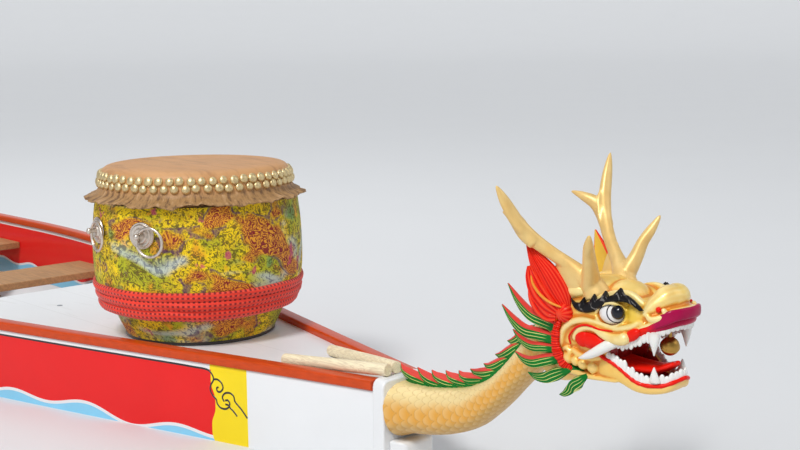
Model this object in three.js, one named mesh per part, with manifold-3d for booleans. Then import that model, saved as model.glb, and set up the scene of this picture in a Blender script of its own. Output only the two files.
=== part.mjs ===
// A festival dragon boat afloat, in millimetres. +X points to the bow, +Y to port, +Z up.
// The origin is on the centreline amidships, at the waterline.
import * as THREE from 'three';
import { mergeVertices } from 'three/addons/utils/BufferGeometryUtils.js';
import Module from 'manifold-3d';

const wasm = await Module();
wasm.setup();

// Driving dimensions of the hull
const HALF_LENGTH = 3200; // amidships to the ends of the rails
const RAIL_TOP = 180; // above the waterline
const END_HALF = 63; // half-beam at the ends, outside the rails
const END_SLOPE = 0.2513; // half-beam gained per millimetre at the ends
const MID_HALF = 530;
const END_RUN = 2400; // length over which the hull widens
const BOARD = 18; // thickness of the side and bottom boards
const OVERHANG = 6; // rail beyond the side board
const RAIL_WIDE = 32;
const RAIL_HIGH = 20;
const CHINE_Z = -30;
const KEEL_END_Z = -70;
const KEEL_MID_Z = -190;
const GAP = 0.3; // between pieces that touch
const DECK_TOP = RAIL_TOP - 14;
const DECK_THICK = 12;
const POST_THICK = 30;
const POST_WIDE = 120;
const KEEL_DEEP = 30;
const KEEL_WIDE = 40;

// Driving dimensions of the drum
const DRUM_X = HALF_LENGTH - 640;
const DRUM_HIGH = 377;

const COLOURS = {
  hull_white: [0xe6e6e2, 0.35, 0],
  hull_red: [0xc4181c, 0.4, 0],
  rail_orange: [0xb04a2c, 0.3, 0],
  gold: [0xd8a545, 0.35, 0.7],
  green: [0x0f8a4c, 0.3, 0],
  red: [0xcf1a1c, 0.3, 0],
  mouth_red: [0x9a1016, 0.3, 0],
  ivory: [0xf4efe2, 0.3, 0],
  eye: [0x111111, 0.1, 0],
  brass: [0xc8963c, 0.25, 1],
  drum_skin: [0x8a6242, 0.6, 0],
  drum_cloth: [0xb98a2e, 0.8, 0],
  timber: [0xb58a5a, 0.6, 0],
  pale_wood: [0xd9b98c, 0.5, 0],
  black: [0x1c1a18, 0.5, 0],
  iron: [0x5d6064, 0.4, 0.9],
};

const boat = new THREE.Group();

function addMesh(name, geometry, colour, place = [0, 0, 0], turn = [0, 0, 0]) {
  const [tint, roughness, metalness] = COLOURS[colour];
  const material = new THREE.MeshStandardMaterial({ color: tint, roughness, metalness });
  const mesh = new THREE.Mesh(geometry, material);
  mesh.name = name;
  mesh.position.set(...place);
  mesh.rotation.set(...turn);
  boat.add(mesh);
  return mesh;
}

function toGeometry(points, faces) {
  // Turns the faces over when the volume they enclose comes out negative
  let volume = 0;
  for (const [a, b, c] of faces) {
    const cross = new THREE.Vector3().crossVectors(points[b], points[c]);
    volume += points[a].dot(cross);
  }
  const index = faces.flatMap(([a, b, c]) => (volume < 0 ? [a, c, b] : [a, b, c]));
  const geometry = new THREE.BufferGeometry();
  const places = points.flatMap((p) => [p.x, p.y, p.z]);
  geometry.setAttribute('position', new THREE.Float32BufferAttribute(places, 3));
  geometry.setIndex(index);
  return geometry;
}

// A closed solid through rings of equal length, its ends closed by a fan around each ring's middle
function loft(rings) {
  const sides = rings[0].length;
  const points = rings.flat();
  const faces = [];
  for (let r = 0; r < rings.length - 1; r += 1) {
    for (let i = 0; i < sides; i += 1) {
      const a = r * sides + i;
      const b = r * sides + ((i + 1) % sides);
      faces.push([a, b, b + sides], [a, b + sides, a + sides]);
    }
  }
  for (const [ring, first, out] of [[rings[0], 0, false], [rings.at(-1), (rings.length - 1) * sides, true]]) {
    const middle = ring.reduce((sum, p) => sum.clone().add(p), new THREE.Vector3()).divideScalar(sides);
    const centre = points.push(middle) - 1;
    for (let i = 0; i < sides; i += 1) {
      const a = first + i;
      const b = first + ((i + 1) % sides);
      faces.push(out ? [centre, a, b] : [centre, b, a]);
    }
  }
  return toGeometry(points, faces);
}

// A closed shell through stations that each hold an outer and an inner line of equal length
function shell(stations) {
  const count = stations[0].outer.length;
  const rings = stations.map(({ outer, inner }) => [...outer, ...inner.toReversed()]);
  const sides = count * 2;
  const faces = [];
  for (let r = 0; r < rings.length - 1; r += 1) {
    for (let i = 0; i < sides; i += 1) {
      const a = r * sides + i;
      const b = r * sides + ((i + 1) % sides);
      faces.push([a, b, b + sides], [a, b + sides, a + sides]);
    }
  }
  const last = (rings.length - 1) * sides;
  for (let i = 0; i < count - 1; i += 1) {
    const far = sides - 1 - i;
    faces.push([i + 1, i, far], [i + 1, far, far - 1]);
    faces.push([last + i, last + i + 1, last + far], [last + i + 1, last + far - 1, last + far]);
  }
  return toGeometry(rings.flat(), faces);
}

// A ring of a superellipse across a path: a is the half-width, b the half-height, power 2 an ellipse
function ring(centre, forward, a, b, sides, power = 2, upward = new THREE.Vector3(0, 0, 1)) {
  const side = new THREE.Vector3().crossVectors(upward, forward).normalize();
  const up = new THREE.Vector3().crossVectors(forward, side).normalize();
  return Array.from({ length: sides }, (_, i) => {
    const angle = (i / sides) * 2 * Math.PI;
    const c = Math.cos(angle);
    const s = Math.sin(angle);
    const u = Math.sign(c) * Math.abs(c) ** (2 / power) * a;
    const v = Math.sign(s) * Math.abs(s) ** (2 / power) * b;
    return centre.clone().addScaledVector(side, u).addScaledVector(up, v);
  });
}

// A tapering tube through rows of [x, y, z, half-width, half-height]
function limb(rows, sides = 10, power = 2, upward = new THREE.Vector3(0, 0, 1)) {
  const centres = rows.map(([x, y, z]) => new THREE.Vector3(x, y, z));
  return loft(rows.map(([, , , a, b], i) => {
    const before = centres[Math.max(i - 1, 0)];
    const after = centres[Math.min(i + 1, rows.length - 1)];
    return ring(centres[i], after.clone().sub(before).normalize(), a, b, sides, power, upward);
  }));
}

const PORT = new THREE.Vector3(0, 1, 0);

// A limb that stays on the centreline, through rows of x, z, half-width, half-height, grown by a margin
function spineLimb(rows, grow = 0, sides = 20) {
  const POWER = 2.4;
  const [[x0, z0], [x1, z1, ...end]] = rows.slice(-2);
  const further = grow / Math.hypot(x1 - x0, z1 - z0);
  const last = [x1 + (x1 - x0) * further, z1 + (z1 - z0) * further, ...end];
  const grown = [...rows.slice(0, -1), last].map(([x, z, a, b]) => [x, 0, z, b + grow, a + grow]);
  return limb(grown, sides, POWER, PORT);
}

// A flat plate with a given outline, thick along its own +Z
function plate(outline, thick, holes = []) {
  const shape = new THREE.Shape(outline.map(([x, y]) => new THREE.Vector2(x, y)));
  for (const hole of holes) {
    shape.holes.push(new THREE.Path(hole.map(([x, y]) => new THREE.Vector2(x, y))));
  }
  return new THREE.ExtrudeGeometry(shape, { depth: thick, bevelEnabled: false });
}

// Points on an arc, from one angle in degrees to another
function arc(x, y, radius, from, to, steps) {
  return Array.from({ length: steps + 1 }, (_, i) => {
    const angle = THREE.MathUtils.degToRad(from + ((to - from) * i) / steps);
    return [x + radius * Math.cos(angle), y + radius * Math.sin(angle)];
  });
}

// A plate standing fore and aft on the centreline: outline in x and z, thick along y
function upright(outline, thick) {
  return plate(outline, thick).rotateX(Math.PI / 2).translate(0, thick / 2, 0);
}

function toSolid(geometry) {
  const bare = geometry.clone();
  bare.deleteAttribute('normal');
  bare.deleteAttribute('uv');
  const merged = mergeVertices(bare, 1e-4);
  return new wasm.Manifold(new wasm.Mesh({
    numProp: 3,
    vertProperties: new Float32Array(merged.attributes.position.array),
    triVerts: new Uint32Array(merged.index.array),
  }));
}

function fromSolid(solid) {
  const { numProp, vertProperties, triVerts } = solid.getMesh();
  const geometry = new THREE.BufferGeometry();
  const position = new Float32Array((vertProperties.length / numProp) * 3);
  for (let i = 0; i < position.length / 3; i += 1) {
    position.set(vertProperties.subarray(i * numProp, i * numProp + 3), i * 3);
  }
  geometry.setAttribute('position', new THREE.BufferAttribute(position, 3));
  geometry.setIndex(new THREE.BufferAttribute(new Uint32Array(triVerts), 1));
  return geometry;
}

function union(geometries) {
  return fromSolid(geometries.map(toSolid).reduce((sum, next) => sum.add(next)));
}

function cut(geometry, tools) {
  return fromSolid(tools.map(toSolid).reduce((left, tool) => left.subtract(tool), toSolid(geometry)));
}

function block(x0, x1, y0, y1, z0, z1) {
  const box = new THREE.BoxGeometry(x1 - x0, y1 - y0, z1 - z0);
  return box.translate((x0 + x1) / 2, (y0 + y1) / 2, (z0 + z1) / 2);
}

const STATIONS = [-3200, -2950, -2650, -2300, -1900, -1400, -800, 0, 800, 1400, 1900, 2300, 2650, 2950, 3200];

// The hull's plan: outside half-beam, a cubic from the end's width and slope to the middle's
function beamCurve(x) {
  const t = Math.min((HALF_LENGTH - Math.abs(x)) / END_RUN, 1);
  const start = 1 - 3 * t ** 2 + 2 * t ** 3;
  const slope = t - 2 * t ** 2 + t ** 3;
  return END_HALF * start + END_SLOPE * END_RUN * slope + MID_HALF * (1 - start);
}

function keelCurve(x) {
  const t = Math.min((HALF_LENGTH - Math.abs(x)) / END_RUN, 1);
  return KEEL_END_Z + (KEEL_MID_Z - KEEL_END_Z) * Math.sin((t * Math.PI) / 2);
}

// The boards run straight from station to station
function chord(x, curve) {
  const next = Math.max(STATIONS.findIndex((station) => station >= x), 1);
  const [x0, x1] = [STATIONS[next - 1], STATIONS[next]];
  return curve(x0) + ((curve(x1) - curve(x0)) * (x - x0)) / (x1 - x0);
}

const halfBeam = (x) => chord(x, beamCurve);
const keelZ = (x) => chord(x, keelCurve);
const boardOut = (x) => halfBeam(x) - OVERHANG;
const boardIn = (x) => boardOut(x) - BOARD;

// The bottom's section at x, inset by a thickness: a rounded bilge from chine to keel
function bottomLine(x, inset) {
  const BILGE_STEPS = 6;
  const BILGE_POWER = 0.75;
  const wide = boardOut(x) - inset;
  const deep = CHINE_Z - keelZ(x) - inset;
  return Array.from({ length: BILGE_STEPS * 2 + 1 }, (_, i) => {
    const angle = (i / BILGE_STEPS - 1) * (Math.PI / 2);
    const y = Math.sign(angle) * wide * (1 - Math.cos(angle) ** 2) ** (BILGE_POWER / 2);
    const z = CHINE_Z - deep * Math.abs(Math.cos(angle)) ** BILGE_POWER;
    return new THREE.Vector3(x, y, i === 0 || i === BILGE_STEPS * 2 ? CHINE_Z : z);
  });
}

const SIDES = [['port', 1], ['starboard', -1]];

function addHull() {
  const bottom = STATIONS.map((x) => ({ outer: bottomLine(x, 0), inner: bottomLine(x, BOARD) }));
  addMesh('hull_bottom', shell(bottom), 'hull_white');
  const keelLine = (x, z) => [-KEEL_WIDE / 2, KEEL_WIDE / 2].map((y) => new THREE.Vector3(x, y, z));
  const keel = STATIONS.map((x) => ({
    outer: keelLine(x, keelZ(x) - GAP),
    inner: keelLine(x, keelZ(x) - KEEL_DEEP),
  }));
  addMesh('keel', shell(keel), 'hull_white');
  for (const [name, sign] of SIDES) {
    // A wall from z0 to z1 along the hull's plan, from one distance inside it to another
    const wall = (near, far, z0, z1) => {
      const line = (x, inside) => [z0, z1].map((z) => new THREE.Vector3(x, sign * (halfBeam(x) - inside), z));
      return shell(STATIONS.map((x) => ({ outer: line(x, near), inner: line(x, far) })));
    };
    const rail = RAIL_TOP - RAIL_HIGH;
    addMesh(`side_board_${name}`, wall(OVERHANG, OVERHANG + BOARD, CHINE_Z + GAP, rail - GAP), 'hull_red');
    addMesh(`gunwale_${name}`, wall(0, RAIL_WIDE, rail, RAIL_TOP), 'rail_orange');
  }
}

// The boards that close the hull at both ends, with rounded tops, and the feet under neck and tail
const POST_TOP = RAIL_TOP + 4;
const POST_BOTTOM = KEEL_END_Z - KEEL_DEEP;
const FOOT_TOP = 68;
const FOOT_ROWS = [ // ahead of the post, top, bottom, half-width
  [0, FOOT_TOP, POST_BOTTOM, 46],
  [20, FOOT_TOP, POST_BOTTOM + 2, 42],
  [30, FOOT_TOP - 1, POST_BOTTOM + 10, 38],
  [36, FOOT_TOP - 6, POST_BOTTOM + 24, 32],
];
const ENDS = [ // post, foot, direction
  ['bow_post', 'stem_foot', 1],
  ['stern_post', 'stern_foot', -1],
];

function addEnds() {
  const CORNER = 16;
  const CORNER_STEPS = 3;
  const half = POST_WIDE / 2;
  const outline = [
    [-half, POST_BOTTOM],
    [half, POST_BOTTOM],
    ...arc(half - CORNER, POST_TOP - CORNER, CORNER, 0, 90, CORNER_STEPS),
    ...arc(CORNER - half, POST_TOP - CORNER, CORNER, 90, 180, CORNER_STEPS),
  ];
  const outer = HALF_LENGTH + POST_THICK + GAP;
  for (const [post, foot, sign] of ENDS) {
    const board = plate(outline, POST_THICK).rotateX(Math.PI / 2).rotateZ(Math.PI / 2);
    addMesh(post, board.translate(sign > 0 ? HALF_LENGTH + GAP : -outer, 0, 0), 'hull_white');
    const rings = FOOT_ROWS.map(([ahead, top, low, wide]) => {
      const x = sign * (outer + GAP + ahead);
      const corners = [[wide, low], [wide, top], [-wide, top], [-wide, low]];
      return corners.map(([y, z]) => new THREE.Vector3(x, y, z));
    });
    addMesh(foot, loft(rings), 'hull_white');
  }
}

function deckOutline(x0, x1) {
  const xs = [x0, ...STATIONS.filter((x) => x > x0 && x < x1), x1];
  const edge = (x) => halfBeam(x) - RAIL_WIDE - GAP * 2;
  return [...xs.map((x) => [x, -edge(x)]), ...xs.toReversed().map((x) => [x, edge(x)])];
}

// A cross plate that fills the hull at x from its inner faces up to a height
function crossPlate(x, thick, top) {
  const narrow = x + (Math.sign(x) * thick) / 2; // the face of the plate where the hull is narrower
  const wall = boardIn(narrow) - GAP * 2;
  const rest = bottomLine(narrow, BOARD + GAP * 2).filter((p) => p.z < top).map((p) => [p.y, p.z]);
  const high = top > CHINE_Z ? [[wall, top], [-wall, top]] : [];
  const fade = top > CHINE_Z ? [] : edgeAt(bottomLine(narrow, BOARD + GAP * 2), top);
  const board = plate([...rest, ...fade.toReversed(), ...high], thick);
  return board.rotateX(Math.PI / 2).rotateZ(Math.PI / 2).translate(x - thick / 2, 0, 0);
}

// The two points where a section's line crosses a height
function edgeAt(line, z) {
  const i = line.findIndex((p) => p.z < z);
  const [a, b] = [line[i - 1], line[i]];
  const y = a.y + ((b.y - a.y) * (z - a.z)) / (b.z - a.z);
  return [[y, z], [-y, z]];
}

const FORE_DECK = 1900; // where the decks begin
const AFT_DECK = -2000;
const BULKHEADS = [ // name, x
  ['bulkhead_fore', FORE_DECK + 20],
  ['bulkhead_aft', AFT_DECK - 20],
  ['drum_beam', DRUM_X],
];
const FLOOR_TOP = -90;
const FLOOR_THICK = 14;
const FLOOR_HALF = 230;
const FLOOR_ENDS = [-1700, 1500];
const TIMBER_THICK = 30;
const KEELSON_HALF = 30;
const KEELSON_LOW = KEEL_MID_Z + BOARD + 24;
const BENCH_TOP = 96;
const BENCH_THICK = 22;
const BENCH_DEEP = 200;
const BENCHES = [1300, 600, -100, -800, -1500];

function addDecksAndInside() {
  const deckLow = DECK_TOP - DECK_THICK;
  const deck = (x0, x1) => plate(deckOutline(x0, x1), DECK_THICK).translate(0, 0, deckLow);
  addMesh('foredeck', deck(FORE_DECK, HALF_LENGTH - 1), 'hull_white');
  addMesh('afterdeck', deck(1 - HALF_LENGTH, AFT_DECK), 'hull_white');
  for (const [name, x] of BULKHEADS) addMesh(name, crossPlate(x, BOARD, deckLow - GAP), 'hull_white');

  const floorLow = FLOOR_TOP - FLOOR_THICK;
  const timbers = BENCHES.map((x) => crossPlate(x, TIMBER_THICK, floorLow - GAP));
  const keelson = block(...FLOOR_ENDS, -KEELSON_HALF, KEELSON_HALF, KEELSON_LOW, floorLow - GAP);
  addMesh('floor_frame', union([...timbers, keelson]), 'timber');
  addMesh('floorboards', block(...FLOOR_ENDS, -FLOOR_HALF, FLOOR_HALF, floorLow, FLOOR_TOP), 'timber');
  BENCHES.forEach((x, i) => {
    const ends = [x - BENCH_DEEP / 2, x + BENCH_DEEP / 2];
    const half = boardIn(Math.max(...ends.map(Math.abs))) - GAP * 2;
    addMesh(`bench_${i + 1}`, block(...ends, -half, half, BENCH_TOP - BENCH_THICK, BENCH_TOP), 'timber');
  });
}

// The drum stands on the foredeck. Each profile is outside radius against height above the deck
const BASE_HIGH = 6;
const SHELL_TOP = 303;
const SHELL_PROFILE = [
  [164, BASE_HIGH], [176, 32], [189, 60], [206, 70], [220, 98], [228, 138], [230, 178], [229, 218],
  [226, 262], [222, SHELL_TOP],
];
const SKIN_PROFILE = [
  [224, SHELL_TOP + GAP], [246, 309], [245, 314], [214, 325], [212, 341], [209, 360], [206, 371],
  [199, DRUM_HIGH],
];
const BAND_Z = [60, 70, 98, 127];
const BAND_THICK = 7;
const BAND_MIN = 196; // the band's lower edge stands out this far at least
const RING_Z = 240;
const RINGS = [ // degrees round the drum from the bow, degrees that the loop has swung on its pin
  [-99, 70],
  [-64, 66],
  [81, 45],
  [116, 25],
];

function shellRadius(z) {
  const k = Math.max(SHELL_PROFILE.findIndex(([, high]) => high >= z), 1);
  const [[r0, z0], [r1, z1]] = [SHELL_PROFILE[k - 1], SHELL_PROFILE[k]];
  return r0 + ((r1 - r0) * (z - z0)) / (z1 - z0);
}

function addDrum() {
  const SIDES_ROUND = 40;
  const deck = DECK_TOP + GAP;
  const place = [DRUM_X, 0, deck];
  const turned = (points) => {
    const line = points.map(([r, z]) => new THREE.Vector2(r, z));
    return new THREE.LatheGeometry(line, SIDES_ROUND).rotateX(Math.PI / 2);
  };
  const baseHalf = SHELL_PROFILE[0][0] + 2;
  const baseTop = BASE_HIGH - GAP;
  addMesh('drum_base', turned([[0, 0], [baseHalf, 0], [baseHalf, baseTop], [0, baseTop]]), 'black', place);
  addMesh('drum_shell', turned([[0, BASE_HIGH], ...SHELL_PROFILE, [0, SHELL_TOP]]), 'drum_cloth', place);
  addMesh('drum_skin', turned([[0, SHELL_TOP + GAP], ...SKIN_PROFILE, [0, DRUM_HIGH]]), 'drum_skin', place);
  const inside = BAND_Z.map((z) => [shellRadius(z) + GAP * 2, z]);
  const outside = inside.map(([r, z]) => [Math.max(r, BAND_MIN) + BAND_THICK, z]);
  addMesh('drum_band', turned([...outside, ...inside.toReversed(), outside[0]]), 'red', place);

  // A ring's own +X points away from the drum, its pin through the boss plate
  const PIN_Z = 6;
  const BOSS_LOW = RING_Z - 20; // its lower edge, where the drum is wider
  const LOOP = { radius: 30, tube: 3.2, out: 12, hang: 28 };
  const boss = new THREE.CylinderGeometry(20, 26, 9, 24).rotateZ(-Math.PI / 2).translate(4.5, 0, PIN_Z);
  const pin = new THREE.CylinderGeometry(5, 5, 24, 12).rotateZ(-Math.PI / 2).translate(12, 0, PIN_Z);
  RINGS.forEach(([round, swung], i) => {
    const loop = new THREE.TorusGeometry(LOOP.radius, LOOP.tube, 10, 36).rotateY(Math.PI / 2);
    loop.translate(LOOP.out, 0, -LOOP.hang).rotateX(THREE.MathUtils.degToRad(swung)).translate(0, 0, PIN_Z);
    const geometry = union([boss, pin, loop]).translate(shellRadius(BOSS_LOW) + GAP * 3, 0, 0);
    const turn = [0, 0, THREE.MathUtils.degToRad(round)];
    addMesh(`drum_ring_${i + 1}`, geometry, 'brass', [DRUM_X, 0, deck + RING_Z], turn);
  });
}

// The sticks lie from the foredeck up onto the bow post
const STICKS = [ // butt x, butt y, tip x, tip y
  [2961, 45, 3209, -5],
  [2950, -67, 3212, -31],
];
const STICK_ROWS = [ // fraction of the length, radius
  [0, 9],
  [0.03, 11.5],
  [0.6, 12],
  [0.97, 11.5],
  [1, 9],
];

function addDrumsticks() {
  const BUTT_Z = DECK_TOP + 11.5;
  const TIP_Z = POST_TOP + 13;
  STICKS.forEach(([x0, y0, x1, y1], i) => {
    const rows = STICK_ROWS.map(([f, radius]) => [
      x0 + (x1 - x0) * f, y0 + (y1 - y0) * f, BUTT_Z + (TIP_Z - BUTT_Z) * f, radius, radius,
    ]);
    addMesh(`drumstick_${i + 1}`, limb(rows, 12), 'pale_wood');
  });
}

// Places on the head are written from the rails' end: x ahead of it, z above the waterline
const ahead = (rows) => rows.map(([x, ...rest]) => [HALF_LENGTH + x, ...rest]);

const NECK = ahead([ // x, z, half-width, half-height
  [-20, 116, 60, 54],
  [POST_THICK, 124, 60, 52],
  [66, 130, 56, 46],
  [106, 134, 50, 44],
  [156, 144, 45, 42],
  [200, 158, 41, 38],
  [236, 178, 38, 32],
  [270, 202, 35, 27],
  [300, 230, 33, 25],
  [336, 267, 32, 26],
  [380, 315, 33, 29],
  [398, 335, 34, 30],
]);

// The space up to the outer face of a post, which the neck and the tail stop at
function behindPost(sign) {
  const REACH = 300;
  const face = sign * (HALF_LENGTH + POST_THICK + GAP * 2);
  const ends = [face, face - sign * REACH];
  return block(Math.min(...ends), Math.max(...ends), -REACH, REACH, -REACH, REACH);
}

function addNeck() {
  addMesh('neck', cut(spineLimb(NECK), [behindPost(1)]), 'gold');
  const fin = crest(NECK, { teeth: 9, from: 0.11, to: 0.88, tall: 26, sweep: -22 });
  addMesh('neck_crest', cut(fin, [behindPost(1)]), 'green');
}

// A fin of swept teeth along the back of a limb with rows of x, z, half-width, half-height
function crest(rows, { teeth, from, to, tall, sweep }) {
  const THICK = 9;
  const ROOT = 14; // sunk into the limb before the limb is cut away
  const SPINE = 9;
  const lengths = rows.slice(1).map(([x, z], i) => Math.hypot(x - rows[i][0], z - rows[i][1]));
  const whole = lengths.reduce((sum, length) => sum + length, 0);
  const at = (fraction, above) => {
    let left = fraction * whole;
    let k = 0;
    while (k < lengths.length - 1 && left > lengths[k]) left -= lengths[k++];
    const [x0, z0, , b0] = rows[k];
    const [x1, z1, , b1] = rows[k + 1];
    const f = left / lengths[k];
    const [tx, tz] = [(x1 - x0) / lengths[k], (z1 - z0) / lengths[k]];
    const high = b0 + (b1 - b0) * f + above;
    const side = Math.sign(rows[1][0] - rows[0][0]); // the back is up at the limb's root
    return [x0 + (x1 - x0) * f - side * tz * high, z0 + (z1 - z0) * f + side * tx * high, tx, tz];
  };
  const plates = Array.from({ length: teeth }, (_, i) => {
    const f0 = from + ((to - from) * i) / teeth;
    const f1 = from + ((to - from) * (i + 1)) / teeth;
    const [inA, outA, outB, inB] = [at(f0, -ROOT), at(f0, SPINE), at(f1, SPINE), at(f1, -ROOT)];
    const [tipX, tipZ, tx, tz] = at(f0, tall);
    const tip = [tipX + tx * sweep, tipZ + tz * sweep];
    return upright([inA, outA, tip, outB, inB].map(([x, z]) => [x, z]), THICK);
  });
  return cut(union(plates), [spineLimb(rows, GAP)]);
}

const HEAD_ROWS = ahead([ // x, top z, bottom z, half-width: skull and upper jaw
  [389, 392, 262, 34],
  [404, 412, 254, 52],
  [440, 432, 260, 64],
  [480, 437, 298, 66],
  [520, 437, 334, 65],
  [556, 433, 348, 60],
  [590, 416, 360, 54],
  [612, 432, 372, 50],
  [636, 438, 384, 42],
  [650, 426, 394, 32],
  [660, 412, 402, 16],
]);
const JAW_ROWS = ahead([ // x, top z, bottom z, half-width
  [446, 290, 268, 34],
  [464, 304, 270, 48],
  [490, 310, 272, 54],
  [512, 305, 274, 55],
  [540, 292, 276, 54],
  [576, 282, 271, 48],
  [600, 282, 268, 42],
  [620, 288, 269, 35],
  [636, 297, 277, 27],
  [646, 301, 288, 14],
]);

// A squarish limb along +X through rows of x, top z, bottom z, half-width, grown by a margin
function slab(rows, grow = 0) {
  const SIDES_ROUND = 24;
  const POWER = 2.4;
  const forward = new THREE.Vector3(1, 0, 0);
  return loft(rows.map(([x, top, low, wide]) => {
    const centre = new THREE.Vector3(x, 0, (top + low) / 2);
    return ring(centre, forward, wide + grow, (top - low) / 2 + grow, SIDES_ROUND, POWER);
  }));
}

function addHead() {
  const neckEnd = spineLimb(NECK, GAP);
  addMesh('head', cut(slab(HEAD_ROWS), [neckEnd]), 'gold');
  addMesh('jaw', cut(slab(JAW_ROWS), [slab(HEAD_ROWS, GAP), neckEnd]), 'gold');
}

// Pieces of the head that come in pairs: rows of x, y, z, half-width, half-height for the port side
const ANTLER = [
  ahead([[504, 38, 420, 14, 14], [488, 48, 440, 14, 14], [468, 60, 459, 14, 12], [446, 74, 477, 13, 12],
    [424, 90, 499, 12, 12], [407, 108, 528, 11, 12], [399, 122, 558, 10, 11], [391, 143, 598, 7, 7]]),
  ahead([[420, 94, 503, 9, 10], [402, 92, 519, 9, 10], [386, 89, 533, 9, 9], [356, 86, 551, 6, 6]]),
  ahead([[496, 46, 440, 13, 12], [508, 56, 454, 12, 11], [514, 66, 474, 10, 10], [519, 74, 494, 9, 9],
    [526, 84, 518, 6, 6]]),
];
// Above this height each antler leans up to port by this share of the height
const LEAN = { from: 470, share: 0.12 };
const leaning = (rows, sign) => rows.map(([x, y, z, ...rest]) => [
  x, y, z + sign * LEAN.share * Math.max(z - LEAN.from, 0), ...rest,
]);
const EAR = ahead([[462, 60, 388, 10, 7], [450, 68, 406, 20, 8], [436, 75, 430, 24, 7], [424, 81, 456, 16, 5],
  [408, 86, 484, 4, 2]]);
const TUSK = ahead([[556, 44, 362, 8, 12], [540, 64, 344, 8, 10], [520, 72, 326, 6, 7],
  [500, 75, 317, 2, 3]]);
const EYE = { x: HALF_LENGTH + 557, y: 50, z: 391, radius: 18 };
const MANE_Y = 68;
const MANE_THICK = 12;
const MANE = [ // root x, root z, tip x, tip z, half-width of the leaf
  [438, 354, 354, 415, 13],
  [432, 332, 341, 378, 13],
  [434, 318, 368, 340, 9],
  [440, 304, 371, 304, 13],
  [468, 288, 393, 272, 13],
  [506, 284, 460, 246, 12],
].map(([x0, z0, x1, z1, wide]) => [HALF_LENGTH + x0, z0, HALF_LENGTH + x1, z1, wide]);
const TONGUE = ahead([ // x, z, half-width, half-height
  [500, 303, 26, 6],
  [530, 303, 28, 7],
  [570, 301, 27, 7],
  [606, 306, 23, 6],
  [634, 318, 14, 4],
]);
const BELL = { x: HALF_LENGTH + 619, z: 342, radius: 15, stem: 4 }; // hangs from the palate by its stem

function mirrored(geometry, sign) {
  if (sign > 0) return geometry;
  const copy = geometry.clone();
  const position = copy.attributes.position;
  for (let i = 0; i < position.count; i += 1) position.setY(i, -position.getY(i));
  const index = Array.from(copy.index.array);
  for (let i = 0; i < index.length; i += 3) [index[i], index[i + 1]] = [index[i + 1], index[i]];
  copy.setIndex(index);
  return copy;
}

function leaf(rootX, rootZ, tipX, tipZ, wide) {
  const LEAF = [[0, 0.7], [0.3, 1], [0.7, 0.6], [1, 0], [0.7, -0.45], [0.3, -1], [0, -0.7]]; // along, across
  const along = new THREE.Vector2(tipX - rootX, tipZ - rootZ);
  const across = new THREE.Vector2(-along.y, along.x).normalize().multiplyScalar(wide);
  const outline = LEAF.map(([f, w]) => {
    const place = new THREE.Vector2(rootX, rootZ).addScaledVector(along, f).addScaledVector(across, w);
    return place.toArray();
  });
  return upright(outline, MANE_THICK);
}

// The strip that the leaves grow from, across their roots
function maneRoot() {
  const HALF = 9;
  const edge = (sign) => MANE.map(([x0, z0, x1, z1]) => {
    const length = Math.hypot(x1 - x0, z1 - z0);
    return [x0 + (sign * HALF * (x1 - x0)) / length, z0 + (sign * HALF * (z1 - z0)) / length];
  });
  return upright([...edge(1), ...edge(-1).toReversed()], MANE_THICK);
}

function addHeadParts() {
  const skull = slab(HEAD_ROWS, GAP);
  const jaw = slab(JAW_ROWS, GAP);
  const neckSkin = spineLimb(NECK, GAP);
  const bumped = EAR.map(([x, y, z, a, b]) => [x, y, z, a + 1, b + 1]); // room for the ear in the mane
  for (const [name, sign] of SIDES) {
    const pair = (rows) => mirrored(limb(rows, 12, 2, PORT), sign);
    const antler = union(ANTLER.map((rows) => pair(leaning(rows, sign))));
    addMesh(`antler_${name}`, cut(antler, [skull]), 'gold');
    addMesh(`ear_${name}`, cut(pair(EAR), [skull, antler]), 'red');
    addMesh(`tusk_${name}`, cut(pair(TUSK), [skull, jaw]), 'ivory');
    const leaves = union([maneRoot(), ...MANE.map((row) => leaf(...row))]).translate(0, MANE_Y, 0);
    addMesh(`mane_${name}`, cut(mirrored(leaves, sign), [skull, jaw, neckSkin, pair(bumped)]), 'green');
    const ball = new THREE.SphereGeometry(EYE.radius, 20, 12).translate(EYE.x, EYE.y, EYE.z);
    addMesh(`eye_${name}`, cut(mirrored(ball, sign), [skull]), 'eye');
  }
  const tongue = limb(TONGUE.map(([x, z, a, b]) => [x, 0, z, a, b]), 14);
  addMesh('tongue', cut(tongue, [jaw, skull]), 'red');
  const ball = new THREE.SphereGeometry(BELL.radius, 20, 14);
  const stemLong = BELL.radius * 4;
  const stem = new THREE.CylinderGeometry(BELL.stem, BELL.stem, stemLong, 12).rotateX(Math.PI / 2);
  const bell = union([ball, stem.translate(0, 0, stemLong / 2)]).translate(BELL.x, 0, BELL.z);
  addMesh('mouth_bell', cut(bell, [skull]), 'brass');
}

// The tail at the stern mirrors the neck's root, then rises to a flame
const behind = (rows) => rows.map(([x, ...rest]) => [-HALF_LENGTH - x, ...rest]);

const TAIL = behind([ // x, z, half-width, half-height
  [-20, 116, 58, 52],
  [POST_THICK, 124, 58, 50],
  [66, 129, 54, 45],
  [106, 134, 47, 43],
  [150, 149, 41, 40],
  [195, 177, 36, 36],
  [238, 222, 32, 34],
  [262, 280, 28, 30],
  [266, 340, 24, 26],
  [250, 398, 20, 22],
  [222, 448, 15, 17],
  [196, 492, 10, 12],
]);
const FLAME_THICK = 14;
const FLAME = behind([ // x, z
  [186, 478], [216, 500], [232, 520], [262, 570], [268, 622], [242, 592], [236, 648], [208, 602],
  [192, 664], [172, 606], [146, 640], [150, 588], [120, 602], [142, 552], [166, 512], [176, 484],
]);

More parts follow.
